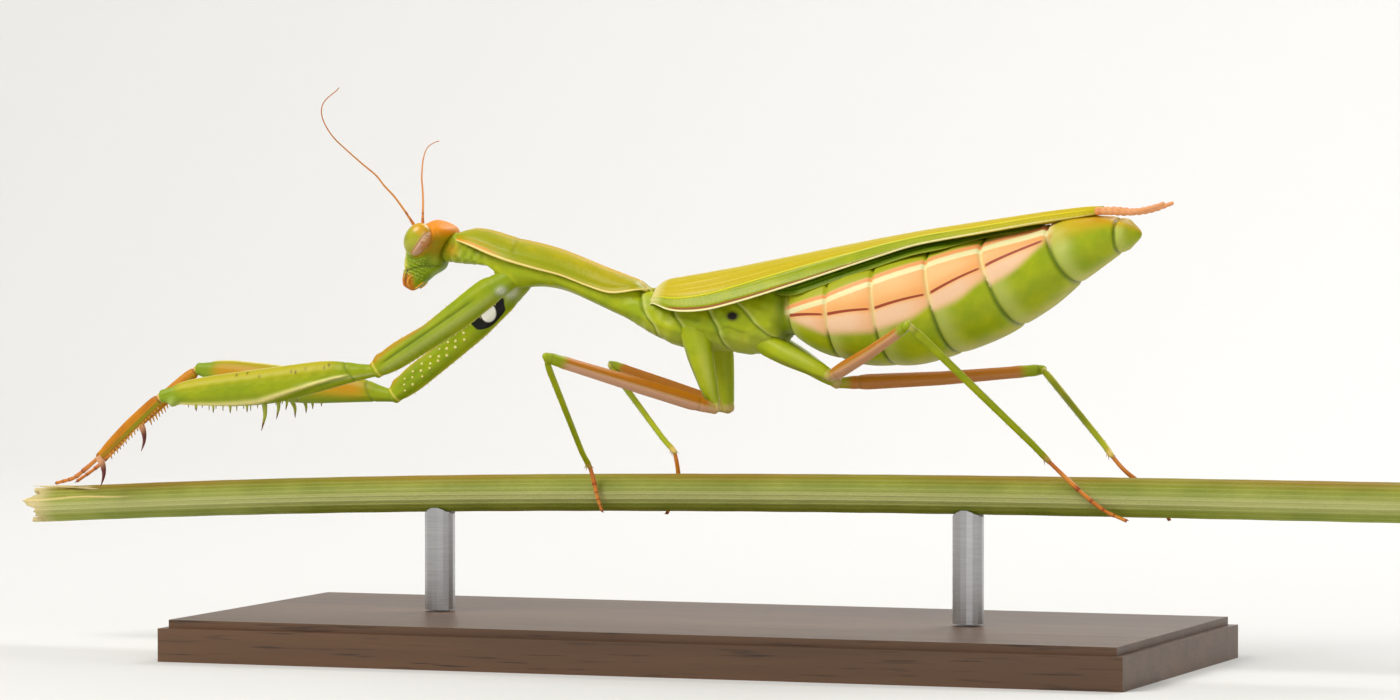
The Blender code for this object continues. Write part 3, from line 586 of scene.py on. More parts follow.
def grown(name, tree, points, paint, values=None, arrows=None, joined=False):
    """Runs a tree on a path or on loose points, and returns the result as a plain mesh object.
    Arrows are rows (aim, height, width), one for each loose point."""
    seed = bpy.data.meshes.new(name)
    edges = [(i, i + 1) for i in range(len(points) - 1)] if joined else []
    seed.from_pydata([tuple(np.asarray(point, float) * MM) for point in points], edges, [])
    if arrows is not None:
        aims = seed.attributes.new("aim", "FLOAT_VECTOR", "POINT")
        aims.data.foreach_set("vector", np.array([row[0] for row in arrows], float).ravel())
        for column, label in ((1, "tall"), (2, "wide")):
            layer = seed.attributes.new(label, "FLOAT", "POINT")
            layer.data.foreach_set("value", np.array([row[column] * MM for row in arrows], float))
    made = shown(name, seed)
    grow = made.modifiers.new("grow", "NODES")
    grow.node_group = tree
    for item in tree.interface.items_tree:
        if item.in_out == "INPUT" and item.name in (values or {}):
            grow[item.identifier] = values[item.name]
        if item.in_out == "INPUT" and item.name == "Paint":
            grow[item.identifier] = paint
    whole = made.evaluated_get(bpy.context.evaluated_depsgraph_get())
    mesh = bpy.data.meshes.new_from_object(whole)
    made.modifiers.remove(grow)
    made.data = mesh
    for label in ("aim", "tall", "wide"):
        if label in mesh.attributes:
            mesh.attributes.remove(mesh.attributes[label])
    return made


def beaded(name, path, paint, root, tip, beads, swell=0.2, rings=60, sides=10, taper=1.0):
    """A jointed tube along a path. Sizes are in millimetres."""
    values = {"Rings": rings, "Sides": sides, "Root radius": root * MM, "Tip radius": tip * MM,
              "Taper": taper, "Beads": float(beads), "Swell": swell}
    return grown(name, BEADS, path, paint, values, joined=True)


def merged(name, parts):
    """Joins plain mesh objects of one paint into one piece."""
    whole = bmesh.new()
    for part in parts:
        whole.from_mesh(part.data)
    mesh = bpy.data.meshes.new(name)
    whole.to_mesh(mesh)
    whole.free()
    mesh.materials.append(parts[0].data.materials[0])
    mesh.shade_smooth()
    for part in parts:
        bpy.data.objects.remove(part)
    return shown(name, mesh)


print("trees:", BEADS.name, THORNS.name, PEARLS.name)

# %% [markdown]
# ## Trunk skin
# Neck, fore chest, hind chest and abdomen are one unbroken skin on the animal, so one net covers them all,
# from inside the head to the tail. Its outline is measured on the solids every half millimetre. The folds of
# the neck, the sutures of the chest and the rings of the abdomen are pushed in and out of it as functions of
# place.

# %% Trunk outline
TRUNK_NODES = ("neck", "prothorax", "thorax", "abdomen")
TRUNK_RINGS = 600
TRUNK_STEPS = 144


def is_whole(triangles, x):
    """Whether the plane at x cuts a full section, and not the thin gap between two solids."""
    flat = section(triangles, LENGTHWISE * x, ACROSS, UPWARD)
    return len(flat) >= 12 and np.ptp(flat[:, 1]) >= 0.5


def trunk_outline():
    """The trunk's smooth net, measured on its four solids."""
    triangles = solid(*TRUNK_NODES)
    front = triangles[:, :, 0].min() + 0.05
    rear = triangles[:, :, 0].max() - 0.05
    angles = ring_angles(TRUNK_STEPS)
    places = [x for x in np.arange(front, rear, 0.4) if is_whole(triangles, x)]
    middles, reaches = measured(triangles, places, angles, mid_height)
    xs = np.linspace(front, rear, TRUNK_RINGS)
    spread = TRUNK_RINGS / (rear - front)
    middle = blur(resampled(middles[:, 1], places, xs), 1.1 * spread)
    reach = blur(resampled(reaches, places, xs), 0.9 * spread)
    reach = blur(reach, 3.0, axis=1, wrap=True)
    closing = np.sqrt(np.clip((rear - xs) / 1.2, 0.002, 1.0))
    reach = reach * closing[:, None]
    net = np.empty((TRUNK_RINGS, TRUNK_STEPS, 3))
    net[:, :, 0] = xs[:, None]
    net[:, :, 1] = reach * np.cos(angles)
    net[:, :, 2] = middle[:, None] + reach * np.sin(angles)
    return net


trunk = trunk_outline()
print("trunk from x = %.1f to %.1f mm" % (trunk[0, 0, 0], trunk[-1, 0, 0]))

# %% [markdown]
# ## The shield's arch
# The shield over the fore chest is an open plate, so its outline is the arch from one rim over the top to
# the other. The skin under it has to meet its rims, so the arch is measured before the skin gets its shape.

# %% Shield measured
PLATE_RINGS = 260
PLATE_STEPS = 72
RIM_GAP = 0.02


def under_rim(flat):
    """The point on the middle line a little below a plate's rims, where the plate is widest."""
    return np.array([0.0, flat[np.argmax(np.abs(flat[:, 0])), 1] - RIM_GAP])


def arch_of(node, rings, steps):
    """An arched plate's outer face, from one rim over the top to the other, measured on its solid."""
    triangles = solid(node)
    front = triangles[:, :, 0].min() + 0.05
    rear = triangles[:, :, 0].max() - 0.05
    angles = np.linspace(0.0, np.pi, steps)
    places = np.arange(front, rear, 0.35)
    rims, reaches = measured(triangles, places, angles, under_rim)
    xs = np.linspace(front, rear, rings)
    spread = rings / (rear - front)
    rim = blur(resampled(rims[:, 1] + RIM_GAP, places, xs), 0.7 * spread)
    reach = blur(resampled(reaches, places, xs), 0.5 * spread)
    reach = blur(reach, 1.5, axis=1)
    outer = np.empty((rings, steps, 3))
    outer[:, :, 0] = xs[:, None]
    outer[:, :, 1] = reach * np.cos(angles)
    outer[:, :, 2] = rim[:, None] + reach * np.sin(angles)
    return outer, angles


shield, shield_angles = arch_of("pronotum", PLATE_RINGS, PLATE_STEPS)
print("shield from x = %.1f to %.1f mm" % (shield[0, 0, 0], shield[-1, 0, 0]))

# %% [markdown]
# ## Folds of the trunk
# Each ring of a mantis's abdomen has a back plate, a soft side strip and a belly plate. On this animal the
# side strips are peach with cream borders, and each has one russet dash. The rings lean back towards the
# belly, more so near the tail. A table gives each ring's front edge and the heights of its dash and borders;
# the functions below turn it into creases for the shape and masks for the paint.

# %% Trunk shape
# Each row is the front edge of a ring: x halfway up, how far it leans back from top to bottom, then the
# heights of the strip's lower border, of the dash and of the cream line, at the ring's front edge.
RINGS = (
    (10.2, 0.4, 33.0, 33.3, 33.6),
    (14.5, 0.6, 31.6, 33.5, 34.8),
    (19.4, 1.4, 31.9, 34.1, 36.6),
    (25.0, 2.4, 33.7, 35.6, 38.4),
    (30.6, 3.4, 36.2, 38.4, 40.0),
    (36.6, 2.6, 40.0, 40.9, 41.4),
    (41.9, 0.0, 41.6, 41.8, 42.0),
    (45.0, 0.0, 41.6, 41.8, 42.0),
)
CREASE = 0.16
RING_BULGE = 0.14
NECK_X = (-26.4, -25.6, -21.4, -20.6, -19.8)
NECK_FLOOR = (35.5, 37.85, 37.8, 37.2, 10.0)  # the height of the neck's underside at each x
NECK_LIFT = 0.85
BELLY_HEIGHT = 33.0  # the sutures' places are given at this height
# The skin swells round the roots of the legs: x, height, width and rise of each swelling.
ROOTS = ((-18.4, 35.8, 2.0, 0.45), (0.4, 31.2, 1.5, -0.30), (7.4, 31.0, 1.5, 0.20))


def ring_number(x, height):
    """Which ring a place lies in, as a number whose whole part counts the rings. Height runs from -1 to 1."""
    number = np.zeros_like(x)
    edges = [row[0] - 0.5 * row[1] * height for row in RINGS]
    for edge, after in zip(edges, edges[1:]):
        number += np.clip((x - edge) / (after - edge), 0.0, 1.0)
    return number


def line_height(x, column):
    """The height of one of the strip's lines at x."""
    return np.interp(x, [row[0] for row in RINGS], [row[column] for row in RINGS])


x, y, z = trunk[:, :, 0], trunk[:, :, 1], trunk[:, :, 2]
low = z.min(axis=1, keepdims=True)
high = z.max(axis=1, keepdims=True)
height = 2 * (z - low) / (high - low) - 1
# The neck's underside runs level to the chest, its front end fills the room between the crown and the
# shield, and it narrows sideways where it goes into the head.
level = np.interp(x, NECK_X, NECK_FLOOR)
spare = z - level
trunk[:, :, 2] = level + 0.5 * (spare + np.sqrt(spare**2 + 0.09))
trunk[:, :, 2] += NECK_LIFT * bump(x + 25.0, 1.1) * ramp(height, 0.0, 0.9)
trunk[:, :, 1] *= 1 - 0.40 * (1 - ramp(x, -26.6, -25.2))
number = ring_number(x, height)
within = number - np.floor(number)
to_edge = np.minimum(within, 1 - within) * 5.0
on_abdomen = ramp(x, 9.4, 10.6)
on_side = ramp(height, -0.75, -0.45) * on_abdomen
crease = bump(to_edge, CREASE) * on_abdomen
swell = np.sin(np.pi * np.clip(within, 0, 1)) ** 0.6 * on_abdomen

turn = np.arctan2(height, y)
rim_height = np.interp(x, shield[:, 0, 0], shield[:, 0, 2])
rim_width = np.interp(x, shield[:, 0, 0], np.abs(shield[:, 0, 1]))
under_shield = ramp(x, -25.0, -23.6) * (1 - ramp(x, -7.0, -5.2))
to_rim = np.clip(rim_width - 0.22 - np.abs(y), 0, 1.4) * bump(z - rim_height + 0.1, 0.75) * under_shield

neck_turn = np.sin(x * 5.0 + 2.5 * np.sin(turn * 3.0 + x)) * np.sin(turn * 7.0 + x * 1.6)
neck_folds = bump(x + 23.6, 2.4) * (0.8 * neck_turn + 0.6 * np.sin(x * 6.5 + 2.2 * np.sin(z * 2.0)))
chest_folds = bump(x + 16.5, 5.5) * np.sin(z * 5.5 + x * 1.9 + 1.5 * np.sin(x * 1.3)) * np.sin(x * 0.9 + z)
chest_folds = chest_folds * ramp(np.abs(y), 0.4, 1.0)
chest = ramp(x, -7.5, -5.0) * (1 - ramp(x, 8.2, 9.6)) * ramp(np.abs(y), 0.5, 1.2)
over_belly = z - BELLY_HEIGHT
steep = x + 0.57 * over_belly + 0.12 * np.sin(z * 2.3)
steeper = x + 0.45 * over_belly + 0.15 * np.sin(z * 1.9)
flat = x + 1.10 * over_belly + 0.15 * np.sin(z * 2.0)
cuts = [steep + 4.6, steep + 1.5, steeper - 2.3, flat - 6.3]
sutures = sum(bump(cut, 0.17) for cut in cuts) * chest
lips = sum(bump(cut - 0.36, 0.22) for cut in cuts) * chest
swellings = sum(bump(cut - 1.4, 0.9) for cut in cuts) * chest
branch = bump(z - 31.9 - 0.25 * np.sin(x * 1.9), 0.10) * bump(x - 4.8, 1.6) * chest
rumple = np.sin(x * 3.1 + z * 2.0) * np.sin(z * 3.7 - x * 1.3) * chest
keel = bump(y, 0.25) * ramp(-height, 0.5, 0.8) * ramp(x, -19.0, -17.0) * (1 - ramp(x, -9.0, -6.5))
waist = bump(x - 9.3, 0.55)
above = z - line_height(x, 4)
strip_crease = (bump(above + 0.28, 0.10) + bump(above - 0.30, 0.10)) * on_side * (1 - ramp(x, 36.0, 38.0))
hoods = sum(rise * bump(np.hypot(x - at, z - tall), wide) for at, tall, wide, rise in ROOTS)
hoods = hoods * ramp(np.abs(y), 0.6, 1.4)

relief = hoods + 0.06 * neck_folds + 0.05 * chest_folds + 0.20 * swellings + 0.05 * lips
relief = relief - 0.16 * sutures - 0.08 * branch + 0.06 * rumple
relief = relief + 0.15 * keel - 0.35 * waist + to_rim
relief = relief + 0.55 * bump(x - 37.2, 2.6) * ramp(height, 0.3, 0.9)
relief = relief + RING_BULGE * swell - 0.26 * crease - 0.05 * strip_crease
trunk_face = pushed(trunk, relief)
print("the skin is pushed in by %.2f and out by %.2f mm" % (-relief.min(), relief.max()))

# %% [markdown]
# ## Trunk paint
# The green skin carries its markings as masks: the strip's peach and rose, the pale bloom behind each
# crease, a painted highlight on the crests of the neck's folds, painted shade in the creases, the waist, the
# sutures and the folds, and a dark spot on the side of the chest. The cream line and the russet dash have
# crisp borders, so the net carries only the distance from them and the shader draws the border.

# %% Trunk masks and skin
rear_rise = 0.9 * ramp(within, 0.35, 1.0) * ramp(x, 22.0, 26.0)
inside = z - line_height(x, 2) - rear_rise
has_strip = on_side * (1 - ramp(x, 35.2, 36.6))
strip = ramp(inside, -0.35, 0.75) * has_strip * (1 - ramp(above, 0.9, 1.6))
dash_gap = z - line_height(x, 3) - 0.10 * np.sin(within * np.pi)
along_ring = ramp(within, 0.02, 0.08) * (1 - ramp(within, 0.90, 0.96))
bloom_and_fold_highlight = bump(within - 0.12, 0.16) * on_abdomen * (1 - strip)
bloom_and_fold_highlight = bloom_and_fold_highlight + 0.8 * bump(x - 37.3, 0.9) * bump(z - 40.3, 0.9)
bloom_and_fold_highlight = np.clip(0.55 * bloom_and_fold_highlight + 0.6 * lips + 0.35 * ramp(-height, 0.2, 0.9) * chest, 0, 0.8)
# Painted highlight: the crests of the neck's folds are lightened here, and the shade mask below darkens their
# hollows as painted shade.
bloom_and_fold_highlight = bloom_and_fold_highlight + 0.45 * np.clip(neck_folds, 0, 1) * ramp(-height, -0.6, 0.2)
gold = ramp(height, 0.2, 0.9) * ramp(x, 34.0, 38.0) * 0.9
gold = gold + 0.35 * ramp(-height, 0.85, 1.0) * on_abdomen
tan = 0.75 * bump(x + 25.2, 0.8) * bump(z - 39.3, 0.7)
tan = tan + 0.7 * bump(x - 40.5, 2.5) * ramp(height, 0.45, 0.9)
shade = 0.75 * crease * (1 - strip) + 0.5 * waist + 0.55 * sutures + 0.4 * branch
spot = bump(x - 4.6, 0.55) * bump(z - 33.2, 0.42) * ramp(np.abs(y), 2.2, 2.8)
trunk_masks = {
    "bloom_and_fold_highlight": bloom_and_fold_highlight,
    "gold": gold,
    "tan": np.clip(tan, 0, 0.8),
    "peach": strip,
    "rose": strip * ramp(-dash_gap, 0.05, 0.5) * 0.9,
    "orange": strip * (0.55 * bump(dash_gap - 0.35, 0.45) + 0.5 * ramp(within, 0.5, 1.0)),
    "cream": strip * 0.75 * bump(to_edge, 0.20),
    "shade": np.clip(shade + 0.35 * np.clip(-neck_folds, 0, 1), 0, 0.9),
    "spot": np.clip(1.9 * spot - 0.2, 0, 1.1),
    "above": above,
    "dash_gap": dash_gap / (0.11 + 0.06 * (1 - within)),
    "strip": has_strip,
    "on_dash": np.clip(1.2 * along_ring * strip, 0, 1),
}
TRUNK_TINTS = {"bloom_and_fold_highlight": (0.58, 0.62, 0.16), "gold": GOLD, "tan": (0.62, 0.30, 0.012), "peach": PEACH,
               "rose": ROSE, "orange": (0.88, 0.38, 0.11), "cream": CREAM, "shade": (0.07, 0.13, 0.002),
               "spot": BLACKISH}
TRUNK_BANDS = (
    ("above", 1.25, 0.62, "strip", (0.40, 0.42, 0.01), 0.3),
    ("above", 0.42, 0.17, "strip", (0.86, 0.36, 0.12), 0.3),
    ("above", 0.0, 0.26, "strip", (0.84, 0.78, 0.40), 0.3),
    ("dash_gap", 0.0, 0.9, "on_dash", (0.34, 0.055, 0.02), 0.3),
)
trunk_paint = cuticle("cuticle_trunk", (0.42, 0.47, 0.002), (0.29, 0.38, 0.001), TRUNK_TINTS, blotch=420.0,
                      bands=TRUNK_BANDS)
piece("trunk_skin", trunk_face, trunk_masks, trunk_paint, TRUNK_NODES)

# %% [markdown]
# ## Pronotum
# The long shield over the fore chest is one hard plate. It has a raised keel down the middle, a groove
# across it where the fore legs hang, and a rolled cream rim set with tiny teeth in front. Its arch is
# measured on the solid, then given a real plate's thickness, so its edge shows.

# %% Pronotum
PLATE_THICKNESS = 0.3
GROOVE_X = -18.6


def plate_from(outer, relief, thickness):
    """Pushes an open plate's face out by its relief, and closes it with an inner face under it."""
    along = np.gradient(outer, axis=0)
    around = np.gradient(outer, axis=1)
    normal = np.cross(around, along)
    normal /= np.maximum(np.linalg.norm(normal, axis=2, keepdims=True), 1e-12)
    if normal[:, :, 2].sum() < 0:
        normal = -normal
    face = outer + normal * relief[:, :, None]
    inner = face - normal * thickness
    return np.concatenate([face, inner[:, ::-1]], axis=1), normal


def both_faces(mask):
    """A mask of a plate's outer face, repeated for its inner face."""
    return np.concatenate([mask, mask[:, ::-1]], axis=1)


x, y, z = shield[:, :, 0], shield[:, :, 1], shield[:, :, 2]
rise = np.sin(shield_angles)[None, :] + 0 * x
shut = ramp(x, x.max() - 1.3, x.max())
shield[:, :, 2] = z - 0.95 * shut * rise
shield[:, :, 1] = y * (1 - 0.12 * shut)
from_rim = np.minimum(shield_angles, np.pi - shield_angles)[None, :] + 0 * x
groove = bump(x - GROOVE_X - 0.5 * (1 - rise), 0.28) * ramp(rise, 0.15, 0.5)
side_dent = bump(x - GROOVE_X + 1.3, 0.9) * bump(rise - 0.55, 0.22)
keel = bump(y, 0.12 + 0.06 * ramp(x, -19, -15)) * ramp(x, -24.0, -22.8)
wrinkle = np.sin(x * 9.0 + 3.0 * np.sin(x * 1.7)) * np.sin(y * 5.0 + x) * ramp(from_rim, 0.3, 0.8)
rolled = bump(from_rim, 0.11)
relief = 0.06 * keel - 0.05 * groove - 0.04 * side_dent + 0.10 * rolled - 0.05 * bump(from_rim - 0.26, 0.10)
relief = relief + 0.008 * wrinkle
shield_net, shield_normal = plate_from(shield, relief, PLATE_THICKNESS)
front_part = 1 - ramp(x, -21.5, -19.0)
masks = {
    "olive": both_faces(np.clip(1 - ramp(rise, 0.35, 0.85), 0, 1)),
    "gold": both_faces(np.clip(ramp(rise, 0.86, 1.0) * 0.8 + 0.3 * bump(x + 8.0, 3.0), 0, 1)),
    "shade": both_faces(0.30 * groove + 0.12 * side_dent),
    "orange": both_faces(0.4 * keel * ramp(x, -20, -14) + 0.25 * bump(from_rim - 0.3, 0.12) * front_part),
    "from_rim": both_faces(from_rim),
    "on_front": both_faces(front_part * 0.8 + 0.1),
    "everywhere": both_faces(0.92 + 0 * from_rim),
}
SHIELD_TINTS = {"olive": (0.33, 0.36, 0.001), "gold": (0.58, 0.38, 0.001), "shade": (0.18, 0.18, 0.001),
                "orange": (0.80, 0.38, 0.03)}
SHIELD_BANDS = (
    ("from_rim", 0.13, 0.06, "on_front", (0.78, 0.30, 0.012), 0.6),
    ("from_rim", 0.0, 0.085, "everywhere", (0.90, 0.72, 0.24), 0.3),
)
shield_paint = cuticle("cuticle_shield", (0.47, 0.41, 0.001), (0.36, 0.35, 0.001), SHIELD_TINTS, rough=0.42,
                       bands=SHIELD_BANDS)
piece("pronotum_plate", shield_net, masks, shield_paint, ["pronotum"])

amber_paint = cuticle("cuticle_amber", (0.80, 0.42, 0.10), (0.62, 0.26, 0.05), {"along": (0.86, 0.62, 0.22)})
rim_points, rim_arrows = [], []
for rim in (0, PLATE_STEPS - 1):
    for ring in range(6, int(PLATE_RINGS * 0.62), 3):
        fade = 1 - ring / (PLATE_RINGS * 0.75)
        outside = shield_normal[ring, rim] * 0.2 + np.array([0.0, np.sign(y[ring, rim]), -0.25])
        tall = 0.05 + 0.12 * fade * (0.7 + 0.3 * math.sin(ring * 2.3))
        rim_points.append(shield_net[ring, rim] - unit(outside) * 0.03)
        rim_arrows.append((unit(outside + (-0.3, 0, 0)), tall, 0.05))
teeth = grown("pronotum_teeth", THORNS, rim_points, amber_paint, arrows=rim_arrows)
finished(teeth)

# %% [markdown]
# ## Folded wings
# At rest the leathery fore wings lie roof-like over the back, the left one over the right along the middle.
# Each has a cream front edge with a red line behind it, a strong yellow vein that splits the green edge
# field from the gold back field, and a fine net of cross veins. The veins are real ridges: each is a line
# across the wing's own coordinates, u from root to tip and v from the middle of the back to the front edge.
# Paint follows the ridges.

# %% Wing faces
WING_RINGS = 420
WING_STEPS = 90
WING_SKIN = 0.16
EDGE_GAP = 0.01
WING_LAP = 1.1  # how far the left wing laps over the middle
ROOT_ROUND = 1.8  # the wing closes towards its root over this length
MAIN_VEIN = ((0.0, 0.78), (0.1, 0.745), (0.25, 0.70), (0.4, 0.66), (0.55, 0.62), (0.75, 0.60), (1.0, 0.55))
# Each long vein's v at the root and at the tip, and its strength.
LONG_VEINS = ((0.62, 0.46, 1.0), (0.52, 0.36, 1.0), (0.42, 0.27, 0.9), (0.30, 0.18, 0.9), (0.18, 0.10, 0.8),
              (0.86, 0.80, 0.45))


def over_edge(flat):
    """The point on the middle line a little above the front edge, which is a wing's outermost point."""
    return np.array([0.0, flat[np.argmax(flat[:, 0]), 1] + EDGE_GAP])


def wing_face(sign, lift):
    """The outer face of a folded fore wing. Its steps run from the middle of the back to the front edge."""
    triangles = solid("forewing_left", "forewing_right")
    front = triangles[:, :, 0].min() + 0.06
    rear = triangles[:, :, 0].max() - 0.06
    angles = np.linspace(0.5 * np.pi, 0.0, WING_STEPS)
    places = np.arange(front, rear, 0.5)
    edges, reaches = measured(triangles, places, angles, over_edge)
    xs = np.linspace(front, rear, WING_RINGS)
    spread = WING_RINGS / (rear - front)
    edge = blur(resampled(edges[:, 1] - EDGE_GAP, places, xs), 1.0 * spread)
    reach = blur(resampled(reaches, places, xs), 0.8 * spread)
    reach = blur(reach, 1.0, axis=1)
    face = np.empty((WING_RINGS, WING_STEPS, 3))
    face[:, :, 0] = xs[:, None]
    face[:, :, 1] = reach * np.cos(angles)
    face[:, :, 2] = edge[:, None] + reach * np.sin(angles)
    length = np.linalg.norm(np.diff(face, axis=1), axis=2)
    run = np.concatenate([np.zeros((WING_RINGS, 1)), np.cumsum(length, axis=1)], axis=1)
    run /= run[:, -1:]
    even = np.linspace(0.0, 1.0, WING_STEPS)
    for ring in range(WING_RINGS):
        face[ring] = np.stack([np.interp(even, run[ring], face[ring, :, k]) for k in range(3)], axis=1)
    shut = 1 - np.sqrt(1 - (1 - np.clip((xs - front) / ROOT_ROUND, 0, 1)) ** 2)
    face[:, :, 1:] -= shut[:, None, None] * 0.42 * (face[:, :, 1:] - (1.2, face[:, -1:, 2].min() - 0.4))
    lap = (1 - even) ** 6
    face[:, :, 1] -= lap * WING_LAP * np.clip(face[:, -1:, 1] / 5.0, 0, 1) * (1 if lift > 0 else 0.35)
    face[:, :, 2] += lift * (1 - ramp(even, 0.25, 0.6))
    face[:, :, 1] *= sign
    return face


print("main vein from v = %.2f to %.2f" % (MAIN_VEIN[0][1], MAIN_VEIN[-1][1]))

# %% [markdown]
# ## Veins of the fore wing
# The leading vein stands up most and the long veins less, and hundreds of cross veins make a net between
# them. The same ridge values give the yellow of the main vein and the dark of the net.

# %% Fore wings
def vein_line(u, knots):
    """Where a vein's line of (u, v) knots runs at u."""
    return np.interp(u, [knot[0] for knot in knots], [knot[1] for knot in knots])


def vein(u, v, knots, width):
    """A ridge along a line of (u, v) knots."""
    return bump(v - vein_line(u, knots), width)


def wing_veins(u, v, main):
    """How strongly each place lies on a vein: the main vein, the long veins and the fine net between them."""
    strong = vein(u, v, main, 0.013)
    long_veins = np.zeros_like(u)
    for start, end, share in LONG_VEINS:
        knots = ((0.0, start), (0.12, 0.5 * (start + end) + 0.03), (0.9, end), (1.0, end))
        long_veins = np.maximum(long_veins, share * vein(u, v, knots, 0.009))
    edge_field = ramp(v, 0.70, 0.76) * (1 - ramp(v, 0.955, 0.975))
    ribs = np.abs(np.sin(np.pi * (u * 95.0 + 6.0 * (v - 0.7) + 0.3 * np.sin(v * 40.0))))
    back_field = (1 - ramp(v, 0.62, 0.68)) * ramp(v, 0.04, 0.10)
    cross = np.abs(np.sin(np.pi * (u * 70.0 + 1.5 * np.sin(v * 60.0) + 3.0 * v)))
    net = np.maximum(edge_field * bump(ribs, 0.28), 0.3 * back_field * bump(cross, 0.22))
    return strong, long_veins, net


def make_wing(side, lift):
    """One fore wing, with its veins, its edge and its paint masks."""
    face = wing_face(SIDES[side], lift)
    u = np.linspace(0, 1, WING_RINGS)[:, None] + 0 * face[:, :, 0]
    v = np.linspace(0, 1, WING_STEPS)[None, :] + 0 * u
    strong, long_veins, net = wing_veins(u, v, MAIN_VEIN)
    edge = ramp(v, 0.955, 0.985)
    relief = 0.13 * strong + 0.028 * long_veins + 0.020 * net + 0.10 * edge * (1 - ramp(u, 0.9, 1.0))
    relief = relief - 0.10 * bump(v - 0.935, 0.02) - 0.05 * bump(v - (0.70 - 0.06 * u) - 0.05, 0.03)
    tip = np.clip((1 - u) / 0.03, 0, 1) ** 0.5
    wing, _ = plate_from(face, relief, WING_SKIN)
    root = 1 - ramp(u, 0.0, 0.045)
    main_line = vein_line(u, MAIN_VEIN)
    masks = {
        "gold": np.clip(1 - ramp(v - main_line, -0.06, 0.02), 0, 1) * 0.9 + 0.8 * ramp(u, 0.55, 0.95),
        "dark_net_and_pleat_shade": net * 0.55,
        "vein": np.maximum(strong, 0.22 * long_veins),
        "russet": 1.5 * bump(v - 0.946, 0.019) * ramp(u, 0.035, 0.08) * (1 - ramp(u, 0.45, 0.75)),
        "cream": np.maximum(edge * (1 - 0.6 * ramp(u, 0.7, 1.0)), 0.7 * root),
    }
    masks = {name: both_faces(np.clip(mask * tip, 0, 1)) for name, mask in masks.items()}
    return piece("tegmen_" + side, wing, masks, wing_paint, ["forewing_" + side])


WING_TINTS = {"gold": (0.62, 0.46, 0.002), "dark_net_and_pleat_shade": (0.24, 0.31, 0.001), "vein": (0.80, 0.70, 0.01),
              "russet": (0.30, 0.045, 0.004), "cream": (0.92, 0.84, 0.42)}
wing_paint = cuticle("leathery_wing", (0.38, 0.43, 0.001), (0.30, 0.37, 0.001), WING_TINTS, rough=0.42,
                     coat=0.2, depth=0.01, glow=0.2)
make_wing("left", 0.22)
make_wing("right", 0.0)

# %% [markdown]
# ## Hind wings
# Only a narrow dark green strip of each folded hind wing shows, between the fore wing's edge and the body.
# Its green is darkened in part as painted shade, for the strip lies in the fore wing's shadow. It is a fan,
# so its edge is a row of thin pleats. The face of its solid is reached from outside, and the pleats are a
# wave across it, with painted shade in their hollows.

# %% Hind wings
HIDDEN_SHRINK = 0.6  # at both ends the hind wing draws in this much towards its top, hidden by the fore wing
HIND_TRIM = (5.0, 0.6)  # how far the hind wing stays within its solid in front and behind
HIND_RINGS = 220
HIND_STEPS = 60
HIND_PLEATS = 17
HIND_SKIN = 0.12


def make_hind_wing(side):
    """A folded hind wing: a pleated sheet just under the fore wing."""
    sign = SIDES[side]
    triangles = solid("hindwing_" + side)
    front = triangles[:, :, 0].min() + HIND_TRIM[0]
    rear = triangles[:, :, 0].max() - HIND_TRIM[1]
    angles = np.linspace(0.5 * np.pi, 0.0, HIND_STEPS)
    places = np.arange(front, rear, 0.5)
    axes = (LENGTHWISE, ACROSS * sign, UPWARD)
    edges, reaches = measured(triangles, places, angles, over_edge, axes=axes, mirrored=True)
    xs = np.linspace(front, rear, HIND_RINGS)
    hidden = np.maximum(1 - ramp(xs, 5.5, 12.0), ramp(xs, 25.0, 30.0))[:, None]
    kept = 1 - HIDDEN_SHRINK * hidden
    edge = blur(resampled(edges[:, 1] - EDGE_GAP, places, xs), 4.0)
    reach = blur(resampled(reaches, places, xs), 4.0)
    top = reach[:, :1]
    face = np.empty((HIND_RINGS, HIND_STEPS, 3))
    face[:, :, 0] = xs[:, None]
    face[:, :, 1] = reach * np.cos(angles) * sign * kept
    face[:, :, 2] = edge[:, None] + top - top * kept - 0.2 * hidden + reach * np.sin(angles) * kept
    v = np.linspace(0, 1, HIND_STEPS)[None, :] + 0 * face[:, :, 0]
    pleats = np.sin(v * 2 * HIND_PLEATS * np.pi)
    net, _ = plate_from(face, 0.03 * pleats, HIND_SKIN)
    # Painted shade: the hollows of the pleats are darkened.
    masks = {"dark_net_and_pleat_shade": both_faces(0.5 - 0.5 * pleats), "gold": both_faces(0.5 * bump(v - 1.0, 0.02))}
    return piece("hind_wing_" + side, net, masks, hind_paint, ["hindwing_" + side])


# Painted shade: both greens are kept dark for the fore wing's shadow over the strip.
hind_paint = cuticle("pleated_wing", (0.20, 0.32, 0.002), (0.14, 0.25, 0.001),
                     {"dark_net_and_pleat_shade": (0.07, 0.15, 0.001), "gold": (0.42, 0.42, 0.02)}, glow=0.25)
for side in SIDES:
    make_hind_wing(side)

# %% [markdown]
# ## Head
# A mantis's head is a triangle seen from the front: two eyes at the upper corners, a crown between them, a
# face shield under the feelers, and the lip and jaws at the bottom corner. Level sections of the solid give
# its outline. The eye rims rise where the head comes near an eye, and the plates of the face are raised
# fields with grooves round them.

